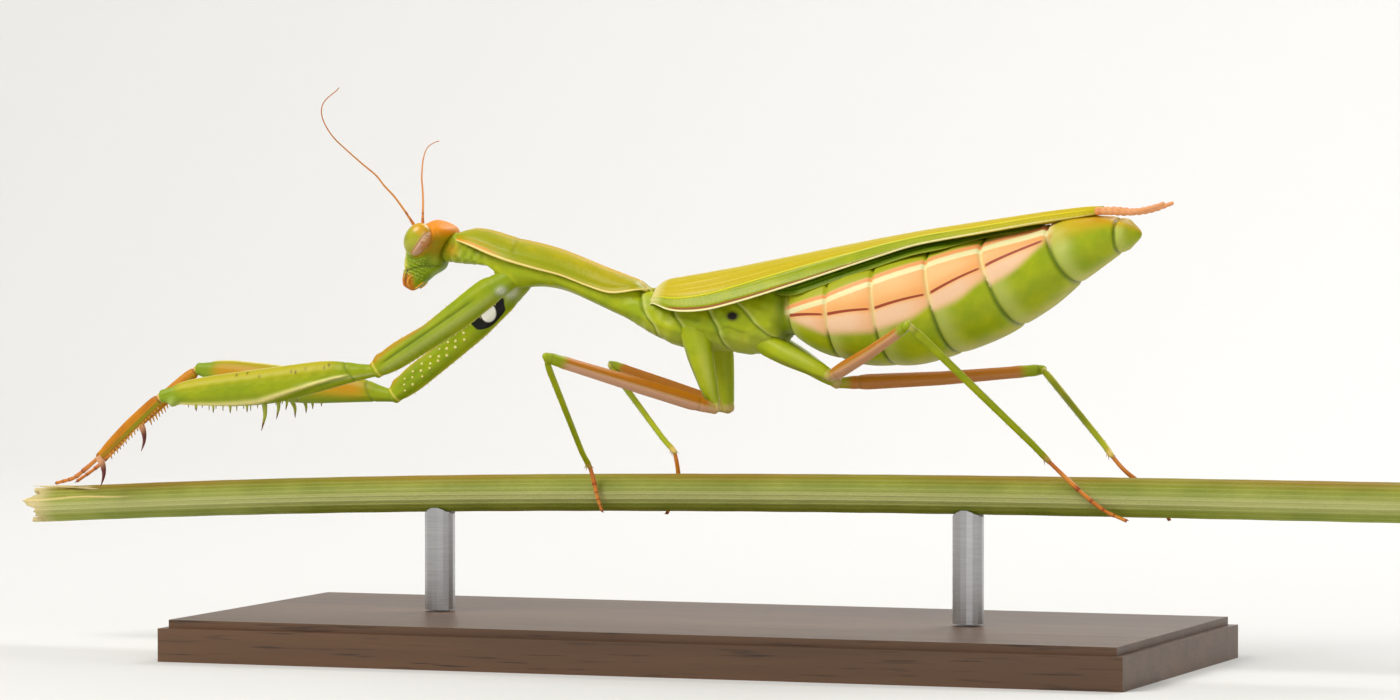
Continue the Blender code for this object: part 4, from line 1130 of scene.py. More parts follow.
# %% Eyes measured
def eye_shape(node):
    """The centre, the three unit axes and the half sizes of an egg-shaped eye."""
    corners = np.unique(solid(node).reshape(-1, 3).round(4), axis=0)
    centre = (corners.min(axis=0) + corners.max(axis=0)) / 2
    _, axes = np.linalg.eigh(np.cov((corners - centre).T))
    tall = max(axes.T, key=lambda axis: abs(axis[2]))
    side = max(axes.T, key=lambda axis: abs(axis[1]))
    tall = tall * np.sign(tall[2])
    side = side * np.sign(side[1]) * np.sign(centre[1])
    fore = np.cross(tall, side)
    fore = fore * np.sign(fore[0])
    sizes = [np.abs((corners - centre) @ axis).max() for axis in (fore, side, tall)]
    return centre, np.array([fore, side, tall]), np.array(sizes)


EYES = {side: eye_shape("eye_" + side) for side in SIDES}
print("eye half sizes:", EYES["left"][2].round(2))


def eye_level(points, side):
    """How far points lie from an eye's middle, where 1 is its surface."""
    centre, axes, sizes = EYES[side]
    return np.linalg.norm(((points - centre) @ axes.T) / sizes, axis=-1)


# %% [markdown]
# ## Head capsule
# The capsule is a net of level rings. Each plate of the face is a raised field between two heights, as wide
# as the plate, and the mouth, the jaws and the cheeks are grooves. The crown and the throat are a little
# fuller at the rear, where they meet the neck.

# %% Head capsule
HEAD_RINGS = 230
HEAD_STEPS = 200


def mid_length(flat):
    """The point on the middle line halfway along a level section."""
    return np.array([(flat[:, 0].min() + flat[:, 0].max()) / 2, 0.0])


def head_outline():
    """The head's smooth net. Its rings are level, from mouth to crown, and its steps start at the back."""
    triangles = solid("head")
    bottom = triangles[:, :, 2].min() + 0.04
    top = triangles[:, :, 2].max() - 0.04
    angles = ring_angles(HEAD_STEPS)
    places = np.linspace(bottom, top, 60)
    middles, reaches = measured(triangles, places, angles, mid_length, axes=LEVEL)
    zs = np.linspace(bottom, top, HEAD_RINGS)
    middle = blur(resampled(middles[:, 0], places, zs), 7.0)
    reach = blur(resampled(reaches, places, zs), 5.0)
    reach = blur(reach, 5.0, axis=1, wrap=True)
    rise = (zs - bottom) / (top - bottom)
    crown = np.sqrt(np.clip(1 - np.clip(1 - (1 - rise) / 0.20, 0, 1) ** 2, 0.0001, 1))
    chin = np.sqrt(np.clip(1 - np.clip(1 - rise / 0.08, 0, 1) ** 2, 0.0001, 1))
    reach = reach * (crown * chin)[:, None]
    net = np.empty((HEAD_RINGS, HEAD_STEPS, 3))
    net[:, :, 0] = middle[:, None] + reach * np.cos(angles)
    net[:, :, 1] = reach * np.sin(angles)
    net[:, :, 2] = zs[:, None]
    return net


head = head_outline()
normal = outward(head)
x, y, z = head[:, :, 0], head[:, :, 1], head[:, :, 2]
faces_front = ramp(-normal[:, :, 0], 0.15, 0.6)
wide = np.abs(y)
nearest = np.minimum(eye_level(head, "left"), eye_level(head, "right"))
rim = bump(nearest - 1.17, 0.07)


def face_plate(half, bottom, top):
    """A field on the front of the head. Its half width, bottom and top are each a pair: where the border
    starts and where it ends."""
    return faces_front * (1 - ramp(wide, *half)) * ramp(z, *bottom) * (1 - ramp(z, *top))


shield_field = face_plate((0.95, 1.1), (38.75, 38.9), (39.75, 39.95))
clypeus_field = face_plate((1.05, 1.2), (37.5, 37.6), (38.5, 38.6))
labrum_field = face_plate((0.62, 0.78), (35.6, 35.8), (37.2, 37.35))
mouth_groove = bump(wide - 0.85 - 0.25 * (z - 36.0), 0.12) * (1 - ramp(z, 37.2, 37.8)) * faces_front
jaw_line = bump(z - 37.35 - 0.25 * (x + 29.5), 0.10) * ramp(wide, 0.6, 0.9)
cheek_line = bump(z - 39.0 + 0.5 * (x + 28.0), 0.10) * ramp(wide, 1.2, 1.6) * (1 - ramp(x, -27.4, -26.6))
crown_grooves = bump(wide - 0.55, 0.10) + bump(wide - 1.35, 0.12)
crown_grooves = crown_grooves * ramp(z, 40.9, 41.5) * ramp(x, -29.4, -28.9)
crown_rear = ramp(z, 40.1, 41.2) * ramp(x, -28.4, -26.8)
gula = bump(z - 37.9, 0.85) * ramp(normal[:, :, 0], 0.1, 0.8) * (1 - ramp(wide, 1.0, 2.0))
nape = ramp(normal[:, :, 0], 0.5, 0.9) * bump(z - 39.2, 0.9) * (1 - ramp(wide, 1.0, 1.5))
folds = np.sin(z * 16.0 + x * 6.0) * ramp(wide, 0.9, 1.3) * (1 - ramp(z, 37.6, 38.6)) * ramp(x, -30.2, -29.8)
relief = 0.10 * rim + 0.05 * shield_field + 0.04 * clypeus_field + 0.06 * labrum_field - 0.14 * mouth_groove
relief = relief - 0.08 * jaw_line - 0.05 * cheek_line - 0.02 * crown_grooves
relief = relief + 0.30 * crown_rear - 0.05 * nape + 0.05 * folds + 0.60 * gula
crown = ramp(z, 40.0, 41.3)
tan = bump(x + 26.9, 0.8) * bump(z - 39.7, 1.0) + 0.5 * bump(z - 40.0, 0.5) * ramp(x, -29.0, -28.0)
pale = faces_front * bump(wide - 1.1, 0.35) * (1 - ramp(z, 39.4, 40.2)) + 0.7 * clypeus_field
masks = {
    "tan": np.clip(tan, 0, 0.75),
    "pale": np.clip(pale, 0, 0.9),
    "orange": np.clip(crown * ramp(x, -29.6, -28.8) + 0.3 * bump(nearest - 1.10, 0.07), 0, 1) * 1.15,
    "mouth": np.clip((1 - ramp(z, 36.6, 37.3)) * ramp(-x, 29.0, 29.8), 0, 1),
    "shade": np.clip(0.9 * mouth_groove + 0.4 * jaw_line + 0.5 * nape, 0, 1),
    "rim": 0.5 * bump(nearest - 1.06, 0.04),
}
HEAD_TINTS = {"tan": (0.40, 0.22, 0.006), "pale": (0.70, 0.66, 0.06), "orange": (0.82, 0.27, 0.002),
              "mouth": (0.62, 0.17, 0.004), "shade": (0.035, 0.030, 0.004), "rim": (0.70, 0.42, 0.06)}
head_paint = cuticle("cuticle_head", (0.26, 0.36, 0.001), (0.17, 0.26, 0.001), HEAD_TINTS, blotch=900.0,
                     depth=0.012)
head_face = pushed(head, relief)
piece("head_capsule", head_face, masks, head_paint, ["head"])

# %% [markdown]
# ## Eyes
# A compound eye is thousands of tiny six-sided lenses under a glassy surface. Here the dome is yellow-green,
# its top runs to gold, and a mauve band with brown edges crosses its rear side. The eye keeps the solid's
# size and seat. The band is worked out in the eye's own axes, and the lenses are a fine cell pattern in the
# bump.

# %% Eyes
def eye_paint():
    """Glassy cuticle with lens cells and masks for the band."""
    paint, tree, shader = shader_of("compound_eye")
    place = put(tree, "ShaderNodeTexCoord").outputs["Object"]
    blotch = noise_on(tree, place, 1500.0, 3.0, (1.0, 1.0, 0.4))
    colour = mixed(tree, blotch, (0.33, 0.35, 0.002, 1.0), (0.48, 0.46, 0.004, 1.0))
    tints = {"gold": (0.74, 0.36, 0.004), "band": (0.84, 0.52, 0.32), "mauve": (0.58, 0.30, 0.22),
             "streak": (0.56, 0.19, 0.03), "edge": (0.42, 0.13, 0.012), "rim": (0.80, 0.62, 0.20),
             "core": (0.20, 0.22, 0.004)}
    for mask, tint in tints.items():
        colour = mixed(tree, mask_of(tree, mask), colour, (*tint, 1.0))
    cells = put(tree, "ShaderNodeTexVoronoi", {"Vector": place, "Scale": 22000.0}).outputs["Distance"]
    height = {"Strength": 0.25, "Distance": 0.008 * MM, "Height": cells}
    fill(tree, shader, {
        "Base Color": colour, "Normal": put(tree, "ShaderNodeBump", height, invert=True).outputs[0],
        "Roughness": 0.34, "Coat Weight": 0.25, "Coat Roughness": 0.2,
        "Subsurface Weight": 0.1, "Subsurface Scale": 0.3 * MM,
    })
    return paint


def make_eye(side, paint):
    """One eye, as a net of rings from the bottom of its tall axis to the top."""
    centre, axes, sizes = EYES[side]
    rings, steps = 90, 120
    polar = np.linspace(0.02, np.pi - 0.02, rings)[:, None]
    turn = ring_angles(steps)[None, :]
    fore = np.sin(polar) * np.cos(turn)
    out = np.sin(polar) * np.sin(turn)
    tall = -np.cos(polar) + 0 * turn
    ball = np.stack([fore * sizes[0], out * sizes[1], tall * sizes[2]], axis=-1)
    net = centre + ball @ axes
    across_band = fore - 0.69 - 0.17 * tall + 0.22 * tall * tall
    half = 0.23 * np.sqrt(np.clip(1 - ((tall - 0.04) / 0.82) ** 4, 0.0, 1.0))
    ends = (1 - ramp(tall, 0.78, 0.88)) * ramp(tall, -0.84, -0.74)
    seen = ramp(out, -0.35, -0.1)
    band = seen * (1 - ramp(np.abs(across_band) - half, 0.0, 0.05)) * ends * 1.3
    edge = seen * bump(np.abs(across_band) - half - 0.045, 0.04) * ends
    spikes = ramp(np.sin(tall * 30.0 + 2.0 * np.sin(tall * 11.0)), 0.1, 0.8) * bump(across_band + 0.02, 0.09)
    stripe = 0.9 * ramp(across_band, 0.03, 0.12) * ramp(tall, -0.35, 0.05)
    streak = band * np.maximum(stripe, spikes * ramp(tall, -0.1, 0.2))
    masks = {
        "gold": np.clip(ramp(tall, 0.35, 0.85) + 0.4 * ramp(fore, 0.55, 0.9), 0, 0.85),
        "band": np.clip(band, 0, 1.3),
        "mauve": np.clip(band * (1 - ramp(tall, -0.1, 0.3)) * ramp(across_band, -0.14, 0.0), 0, 0.8),
        "streak": np.clip(streak, 0, 0.75),
        "edge": np.clip(edge, 0, 0.9),
        "rim": 0.4 * bump(across_band + half + 0.11, 0.04) * seen * ends,
        "core": bump(fore + 0.55, 0.10) * bump(tall + 0.1, 0.16) * ramp(out, 0.2, 0.6) * 0.55,
    }
    return piece("compound_eye_" + side, net, masks, paint, ["eye_" + side])


eyes_paint = eye_paint()
for side in SIDES:
    make_eye(side, eyes_paint)

# %% [markdown]
# ## Mouth, bumps and small eyes
# Under the face hang two pairs of jointed feelers for tasting. Pale bumps are strewn over the lower cheeks
# and the throat. Between the feelers sit three simple eyes, each a glassy bead.

# %% Face details
def smooth_line(points, count, spread=1.5):
    """A smooth line of evenly spaced points through a rough one."""
    points = np.asarray(points, float)
    run = np.concatenate([[0.0], np.cumsum(np.linalg.norm(np.diff(points, axis=0), axis=1))])
    even = np.linspace(0.0, run[-1], count)
    line = np.stack([np.interp(even, run, points[:, k]) for k in range(3)], axis=1)
    soft = blur(line, spread)
    soft[0], soft[-1] = line[0], line[-1]
    return soft


def strewn(net, allowed, count, seed, small, large):
    """Points and arrows of small bumps strewn over the allowed places of a net."""
    normal = outward(net)
    rows, columns = np.nonzero(allowed)
    random = np.random.default_rng(seed)
    chosen = random.choice(len(rows), count, replace=False)
    points = [net[rows[k], columns[k]] for k in chosen]
    sizes = small + (large - small) * random.random(count)
    arrows = [(normal[rows[k], columns[k]], size * 0.5, size) for k, size in zip(chosen, sizes)]
    return points, arrows


def on_net(net, place):
    """The net's point nearest to a place, and its normal."""
    normal = outward(net)
    index = np.unravel_index(np.argmin(np.linalg.norm(net - place, axis=2)), net.shape[:2])
    return net[index], normal[index]


bump_paint = cuticle("cuticle_bump", (0.52, 0.60, 0.14), (0.38, 0.48, 0.03), rough=0.35, coat=0.3,
                     depth=0.004)
palp_paint = cuticle("cuticle_palp", (0.72, 0.42, 0.03), (0.60, 0.34, 0.01), {"along": (0.78, 0.34, 0.04)},
                     rough=0.4)
glass_paint = cuticle("simple_eye", (0.60, 0.30, 0.03), (0.50, 0.20, 0.02), rough=0.12, coat=0.8, depth=0.0)
cheeks = (head[:, :, 2] > 36.3) & (head[:, :, 2] < 38.5) & (np.abs(head[:, :, 1]) > 0.7)
cheeks = cheeks & (head[:, :, 0] < -27.6)
points, arrows = strewn(head_face, cheeks, 170, 3, 0.025, 0.07)
finished(grown("cheek_bumps", PEARLS, points, bump_paint, arrows=arrows))
throat = (trunk[:, :, 0] > -26.4) & (trunk[:, :, 0] < -21.0) & (trunk[:, :, 2] < 39.0)
points, arrows = strewn(trunk_face, throat, 240, 5, 0.025, 0.07)
finished(grown("throat_bumps", PEARLS, points, bump_paint, arrows=arrows))
CHEEK_PALP = ((-28.9, 1.05, 37.0), (-29.7, 1.18, 36.6), (-30.0, 1.02, 36.0), (-29.8, 0.75, 35.6))
LIP_PALP = ((-28.5, 0.50, 36.1), (-28.9, 0.70, 35.75), (-29.3, 0.60, 35.45))
# A palp's path on the left side, its radius at the root and at the tip, and how many joints it has.
PALPS = {"cheek": (CHEEK_PALP, 0.12, 0.08, 5), "lip": (LIP_PALP, 0.10, 0.07, 3)}
for side, sign in SIDES.items():
    for kind, (path, root, tip, beads) in PALPS.items():
        line = smooth_line([(x, y * sign, z) for x, y, z in path], 30, 3.0)
        palp = beaded(kind + "_palp_" + side, line, palp_paint, root, tip, beads, 0.25, 60, 12)
        finished(palp)
SIMPLE_EYES = ((-30.2, 0.42, 41.4), (-30.2, -0.42, 41.4), (-30.6, 0.0, 40.9))
small_eyes = [on_net(head, place) for place in SIMPLE_EYES]
finished(grown("simple_eyes", PEARLS, [point for point, _ in small_eyes], glass_paint,
               arrows=[(aim, 0.16, 0.17) for _, aim in small_eyes]))

# %% [markdown]
# ## Feelers
# A feeler is a stout base joint, a short second joint and a long whip of some fifty tiny joints that thins
# to a hair. Its solid is thicker than life, so only its path is kept. The path is found by walking over the
# solid from its root and taking the middle of each stretch.

# %% Walking along a tube
def tube_path(node, near, count):
    """The middle line of a thin tube, found by walking over its surface from the end near a point."""
    triangles = solid(node)
    corners, index = np.unique(triangles.reshape(-1, 3).round(3), axis=0, return_inverse=True)
    index = index.reshape(-1, 3)
    links = np.concatenate([index[:, [0, 1]], index[:, [1, 2]], index[:, [2, 0]]])
    length = np.linalg.norm(corners[links[:, 0]] - corners[links[:, 1]], axis=1)
    walked = np.linalg.norm(corners - near, axis=1)
    walked = np.where(walked < walked.min() + 0.35, 0.0, np.inf)
    for _ in range(len(corners)):
        shorter = walked[links[:, 0]] + length
        before = walked.copy()
        np.minimum.at(walked, links[:, 1], shorter)
        shorter = walked[links[:, 1]] + length
        np.minimum.at(walked, links[:, 0], shorter)
        if np.allclose(before, walked):
            break
    cuts = np.linspace(0.0, walked.max(), count + 1)
    middles = [corners[walked <= 1e-6].mean(axis=0)]
    for low, high in zip(cuts, cuts[1:]):
        inside = (walked >= low) & (walked <= high + 1e-6)
        if inside.sum() > 2:
            middles.append(corners[inside].mean(axis=0))
    middles.append(corners[walked > walked.max() - 0.1].mean(axis=0))
    return np.array(middles)


FACE = np.array([-29.2, 0.0, 41.2])
print("left feeler's tip:", tube_path("antenna_left", FACE, 22)[-1].round(1))

# %% [markdown]
# The base joint, the second joint and the whip are three beaded tubes along that path, and a small bead is
# the socket in the face.

# %% Feelers
feeler_paint = cuticle("amber_feeler", (0.78, 0.34, 0.08), (0.66, 0.24, 0.04),
                       {"along": (0.46, 0.12, 0.015)}, glow=0.2)
for side, sign in SIDES.items():
    root = FACE + (0.0, 0.75 * sign, 0.0)
    line = smooth_line(tube_path("antenna_" + side, root, 22), 60, 2.0)
    start = line[1]
    ahead = unit(line[6] - start)
    whip = beaded("whip", line[6:], feeler_paint, 0.115, 0.045, 56, 0.14, 340, 8, 0.7)
    base = beaded("base", [start - ahead * 0.25, start + ahead * 0.75], feeler_paint, 0.165, 0.14, 1, 0.2,
                  24, 14)
    second = beaded("second", [start + ahead * 0.7, line[6] + ahead * 0.12], feeler_paint, 0.125, 0.11, 2,
                    0.2, 24, 12)
    socket = grown("socket", PEARLS, [start - ahead * 0.12], feeler_paint, arrows=[(ahead, 0.18, 0.26)])
    finished(merged("feeler_" + side, [base, second, whip, socket]), ["antenna_" + side])

# %% [markdown]
# ## Legs
# Each leg has a coxa at the body, a femur, a tibia and a jointed foot. The three lengths are hard tubes,
# each closed by a rounded end that sits inside the next, as a ball in a socket. A length's outline is
# measured on its solid along the line between two joints. Spines are narrower than a millimetre, so an
# opening, which takes the least over a window and then the most, drops them from the outline; they come back
# below as pieces of their own.

# %% Leg outlines
# The joints of the legs, as (x, distance out from the body's middle plane, z).
LEG_JOINTS = {
    "fore_left": ((-19.2, 1.9, 36.3), (-32.6, 2.8, 27.5), (-54.3, 5.0, 24.8), (-61.6, 4.1, 18.7)),
    "fore_right": ((-19.1, 1.9, 35.8), (-33.0, 2.7, 24.8), (-54.6, 4.2, 27.1), (-60.7, 3.2, 21.8)),
    "mid_left": ((0.4, 2.6, 31.2), (2.5, 2.8, 24.3), (-9.9, 15.2, 29.5), (-10.4, 2.5, 18.6)),
    "mid_right": ((0.9, 2.6, 30.8), (1.9, 2.7, 24.1), (-13.9, 12.5, 27.7), (-3.1, 1.3, 20.0)),
    "hind_left": ((8.0, 2.4, 30.4), (14.3, 3.0, 27.6), (26.9, 18.0, 33.0), (35.7, 2.9, 20.0)),
    "hind_right": ((7.6, 2.4, 30.2), (13.0, 2.9, 26.7), (30.0, 14.2, 27.8), (40.6, 1.4, 20.4)),
}
LENGTHS = ("coxa", "femur", "tibia")
LIMB_STEPS = 72
LIMB_SPARE = 0.45  # how far a rounded end reaches past its joint
LIMB_NEAR = 4.5  # what lies further from the joint line belongs to another stretch of the solid
ROOT_REACH = {"fore": 1.6, "mid": 2.8, "hind": 2.2}  # how far a coxa's tapered root runs on into the chest
ROOT_SINK = {"fore": 0.22, "mid": 0.09, "hind": 0.09}  # how steeply that stretch leans inwards
SPINE_WINDOW = 5  # stations on each side, a little more than half a spine's thickness


def joint(leg, number):
    """One joint of a leg, such as fore_left."""
    x, out, z = LEG_JOINTS[leg][number]
    return np.array([x, SIDES[leg.split("_")[1]] * out, z])


def limb_frame(leg, number):
    """The start, the length, the axis, the outer side and the upper side of one length of leg."""
    start, end = joint(leg, number), joint(leg, number + 1)
    ahead = unit(end - start)
    outer = unit(np.cross(ahead, UPWARD))
    outer = outer * np.sign(outer[1]) * SIDES[leg.split("_")[1]]
    upper = np.cross(outer, ahead)
    return start, float(np.linalg.norm(end - start)), ahead, outer, upper * np.sign(upper[2])


def opened(values, cells):
    """Drops whatever is narrower than the window from a row of outlines."""
    index = np.arange(len(values))
    last = len(values) - 1
    window = range(-cells, cells + 1)
    low = np.min([values[np.clip(index + k, 0, last)] for k in window], axis=0)
    return np.max([low[np.clip(index + k, 0, last)] for k in window], axis=0)


def joint_line(flat):
    """A fore leg's outline is taken from the line between its joints."""
    return np.zeros(2)


def box_middle(flat):
    """The middle of a section's box."""
    return (flat.max(axis=0) + flat.min(axis=0)) / 2


def limb_outline(leg, number, rings):
    """The smooth net of one length of leg. Its angles start at the outer side and turn over the top."""
    node = leg.split("_")
    triangles = solid("_".join((node[0], LENGTHS[number], node[1])))
    start, length, ahead, outer, upper = limb_frame(leg, number)
    angles = ring_angles(LIMB_STEPS)
    places = np.arange(0.3, length - 0.3, 0.12)
    axes = (ahead, outer, upper)
    centre_of = joint_line if node[0] == "fore" else box_middle
    middles, reaches = measured(triangles, places, angles, centre_of, start, axes, near=LIMB_NEAR)
    if node[0] == "fore":
        reaches = opened(reaches, SPINE_WINDOW)
    spare = ROOT_REACH[node[0]] if number == 0 else LIMB_SPARE
    ts = np.linspace(-spare, length + LIMB_SPARE, rings)
    spread = rings / (length + spare + LIMB_SPARE)
    middle = blur(resampled(middles, places, ts), 0.6 * spread)
    reach = blur(resampled(reaches, places, ts), 0.45 * spread)
    reach = blur(reach, 2.2, axis=1, wrap=True)
    over = np.clip(np.maximum(-ts / spare, (ts - length) / LIMB_SPARE), 0.0, 0.998)
    reach = reach * np.sqrt(1 - over * over)[:, None]
    flat_x = middle[:, 0, None] + reach * np.cos(angles)
    flat_y = middle[:, 1, None] + reach * np.sin(angles)
    net = start + ts[:, None, None] * ahead + flat_x[..., None] * outer + flat_y[..., None] * upper
    if number == 0:
        lean = ROOT_SINK[node[0]] * np.maximum(2.6 - ts, 0) * (1 - ramp(ts, 0.0, 2.6))
        net[:, :, 1] -= SIDES[node[1]] * lean[:, None]
    share = (ts / length)[:, None] + 0 * reach
    turn = np.degrees(angles)[None, :] + 0 * reach
    return net, share, turn


def side_at(turn, degrees, width):
    """One where a limb faces a direction, falling to nothing with the angle from it."""
    gap = (turn - degrees + 180.0) % 360.0 - 180.0
    return np.exp(-((gap / width) ** 2))


def ring_at(share, place):
    """The ring nearest to a share of a limb's length."""
    return int(np.argmin(np.abs(share[:, 0] - place)))


def step_at(degrees):
    """The step nearest to a direction round a limb."""
    return int(round(degrees / 360 * LIMB_STEPS)) % LIMB_STEPS


def studs_on(net, share, spots, sunk):
    """Points and arrows of small studs on a limb. A spot is a row (share of the length, degrees round,
    height, width, lean), and each stud's foot is sunk a little."""
    normal = outward(net)
    points, arrows = [], []
    for place, degrees, tall, wide, lean in spots:
        ring, step = ring_at(share, place), step_at(degrees)
        points.append(net[ring, step] - normal[ring, step] * sunk)
        arrows.append((unit(normal[ring, step] + lean), tall, wide))
    return points, arrows


def specks(share, turn, count, seed, low, high, middle, spread, size):
    """Small round spots strewn over a stretch of a limb."""
    rows = np.random.default_rng(seed).random((count, 3))
    total = np.zeros_like(share)
    for place, swing, grade in rows:
        at = low + (high - low) * place
        spot = bump((share - at) / size, 1.0) * side_at(turn, middle + spread * (swing - 0.5), 9.0)
        total = np.maximum(total, spot * (0.4 + 0.6 * grade))
    return total


print("fore femur length:", round(limb_frame("fore_left", 1)[1], 1), "mm")

# %% [markdown]
# ## Fore coxae
# The long fore coxa is three-sided, with a toothed upper edge and a groove down its outer face. Its inner
# face carries the species' mark, a white spot between two black ones, and rows of pale pearls. The soft
# folds where it joins the chest are silvery.

# %% Fore coxae
COXA_TINTS = {"pale": (0.42, 0.48, 0.09), "tan": (0.52, 0.25, 0.002), "shade": (0.10, 0.16, 0.001),
              "cream": (0.74, 0.64, 0.10), "silver": (0.72, 0.74, 0.62)}
COXA_BANDS = (
    ("mark", 0.0, 1.0, "on_mark", (0.006, 0.006, 0.006), 0.05),
    ("core", 0.0, 1.0, "on_mark", (0.86, 0.84, 0.76), 0.10),
)
MARK_PLACE = 0.240  # the mark's middle, as a share of the coxa's length
PEARL_COUNT = 24
TOOTH_ROWS = ((92, 15), (268, 20))  # degrees round the coxa, and how many teeth
coxa_paint = cuticle("cuticle_fore_coxa", (0.32, 0.39, 0.001), (0.24, 0.33, 0.001), COXA_TINTS,
                     bands=COXA_BANDS)
pearl_paint = cuticle("pearl", (0.88, 0.80, 0.30), (0.80, 0.70, 0.20), rough=0.25, coat=0.5, depth=0.004)


def make_fore_coxa(side):
    """A fore coxa, with its mark, its pearls and its teeth."""
    leg = "fore_" + side
    net, share, turn = limb_outline(leg, 0, 240)
    inner = side_at(turn, 180, 46)
    middle = ramp(share, 0.06, 0.14) * (1 - ramp(share, 0.93, 0.98))
    groove = side_at(turn, 8, 9) * ramp(share, 0.18, 0.3) * (1 - ramp(share, 0.88, 0.95))
    membrane = side_at(turn, 325, 26) * bump(share - 0.055, 0.028)
    membrane = membrane + side_at(turn, 185, 40) * bump(share - 0.045, 0.05)
    membrane = np.clip(membrane * 1.5, 0, 1)
    pleats = (0.5 + 0.5 * np.sin(share * 400.0 + 3.0 * np.sin(turn * 0.06))) * membrane
    lobe = bump(share - 0.95, 0.035) * side_at(turn, 80, 40)
    relief = 0.14 * side_at(turn, 92, 9) * middle + 0.12 * side_at(turn, 268, 10) * middle - 0.10 * groove
    relief = relief + 0.05 * side_at(turn, 40, 16) * middle + 0.22 * lobe
    relief = relief + 0.04 * pleats - 0.10 * inner * middle - 0.03 * bump(share - 0.085, 0.012)
    relief = relief + 0.015 * np.sin(share * 140.0) * side_at(turn, 310, 30)
    off_inner = (turn - 190.0) / 62.0
    ragged = 1 + 0.04 * np.sin(turn * 0.09 + 9.0 * share) + 0.03 * np.sin(share * 50.0 + turn * 0.04)
    mark = np.sqrt(((share - MARK_PLACE) / 0.122) ** 2 + off_inner**2) * ragged
    core = np.sqrt(((share - MARK_PLACE) / 0.048) ** 2 + (off_inner / 0.72) ** 2) * ragged
    cream = 0.8 * side_at(turn, 93, 6) * middle + 0.6 * side_at(turn, 268, 8) * middle
    cream = cream + 0.9 * bump(share - 0.985, 0.006)
    masks = {
        "pale": np.clip(side_at(turn, 322, 22) * middle * 0.75, 0, 1),
        "tan": np.clip(side_at(turn, 78, 26) * ramp(share, 0.40, 0.75) + 0.7 * lobe, 0, 0.85),
        "shade": np.clip(0.55 * groove, 0, 0.9),
        "cream": np.clip(cream, 0, 1),
        "silver": np.clip(membrane * (0.40 + 0.45 * pleats), 0, 0.85),
        "mark": mark,
        "core": core,
        "on_mark": np.ones_like(share),
    }
    whole = pushed(net, relief)
    piece("fore_coxa_shell_" + side, whole, masks, coxa_paint, ["fore_coxa_" + side])
    pearls = []
    for number, (jig, jog) in enumerate(np.random.default_rng(4).random((PEARL_COUNT, 2)) - 0.5):
        place = 0.40 + 0.54 * number / PEARL_COUNT + 0.01 * jig
        size = 0.11 + 0.06 * (jig + 0.5)
        pearls.append((place, (150, 185, 215)[number % 3] + 14 * jog, size * 0.7, size, 0.0))
    points, arrows = studs_on(whole, share, pearls, 0.0)
    finished(grown("coxa_pearls_" + side, PEARLS, points, pearl_paint, arrows=arrows))
    teeth = []
    for degrees, count in TOOTH_ROWS:
        for number in range(count):
            place = 0.14 + 0.78 * (number + 0.3 * math.sin(number * 5.1)) / count
            teeth.append((place, degrees, 0.20 + 0.08 * math.sin(number * 2.7), 0.055, 0.0))
    points, arrows = studs_on(whole, share, teeth, 0.03)
    finished(grown("coxa_teeth_" + side, THORNS, points, pearl_paint, arrows=arrows))


for side in SIDES:
    make_fore_coxa(side)

# %% [markdown]
# ## Fore femora
# The femur is the jaw of the trap. Its outer face is green below and yellow above, with a cream ridge that
# runs down from the hip to the lower edge. Its inner face is ochre. Under it stand four long spines near the
# middle and a row of short ones towards the knee, all green with dark red tips.

# %% Fore femora
FEMUR_TINTS = {"yellow": (0.50, 0.45, 0.010), "ochre": (0.58, 0.29, 0.008), "green": (0.22, 0.34, 0.008),
               "pale": (0.55, 0.60, 0.20), "shade": (0.10, 0.17, 0.006), "cream": (0.88, 0.76, 0.28),
               "speck": (0.10, 0.05, 0.006)}
femur_paint = cuticle("cuticle_fore_femur", (0.33, 0.39, 0.001), (0.26, 0.34, 0.001), FEMUR_TINTS)
spine_paint = cuticle("cuticle_spine", (0.40, 0.44, 0.03), (0.32, 0.38, 0.012),
                      {"tip": (0.14, 0.012, 0.006)}, rough=0.3, coat=0.4, depth=0.004)
# The long spines and the short ones: share of the femur's length, how far the spine stands out, its side.
LONG_SPINES = ((0.37, 0.5, -0.15), (0.42, 1.0, -0.15), (0.46, 1.7, -0.15), (0.525, 2.6, -0.15))
SHORT_SPINES = ((0.60, 0.6, 0.35), (0.68, 0.65, 0.35), (0.76, 0.65, 0.35), (0.84, 0.6, 0.35))
INNER_SPINES = 11
RIDGE_TEETH = 14


def with_tip(made, low, high):
    """Turns a tube's share along it into a mask for its dark tip."""
    share = np.empty(len(made.data.vertices))
    layer = made.data.attributes["along"]
    layer.data.foreach_get("value", share)
    tip = made.data.attributes.new("tip", "FLOAT", "POINT")
    tip.data.foreach_set("value", ramp(share, low, high).astype(np.float32))
    return made


def spike(points, paint, radius, tip_radius=0.02, low=0.55, high=0.85, taper=1.3):
    """A curved spine with a dark tip."""
    made = beaded("spike", smooth_line(points, 12, 0.8), paint, radius, tip_radius, 0, 0.0, 14, 9, taper)
    return with_tip(made, low, high)


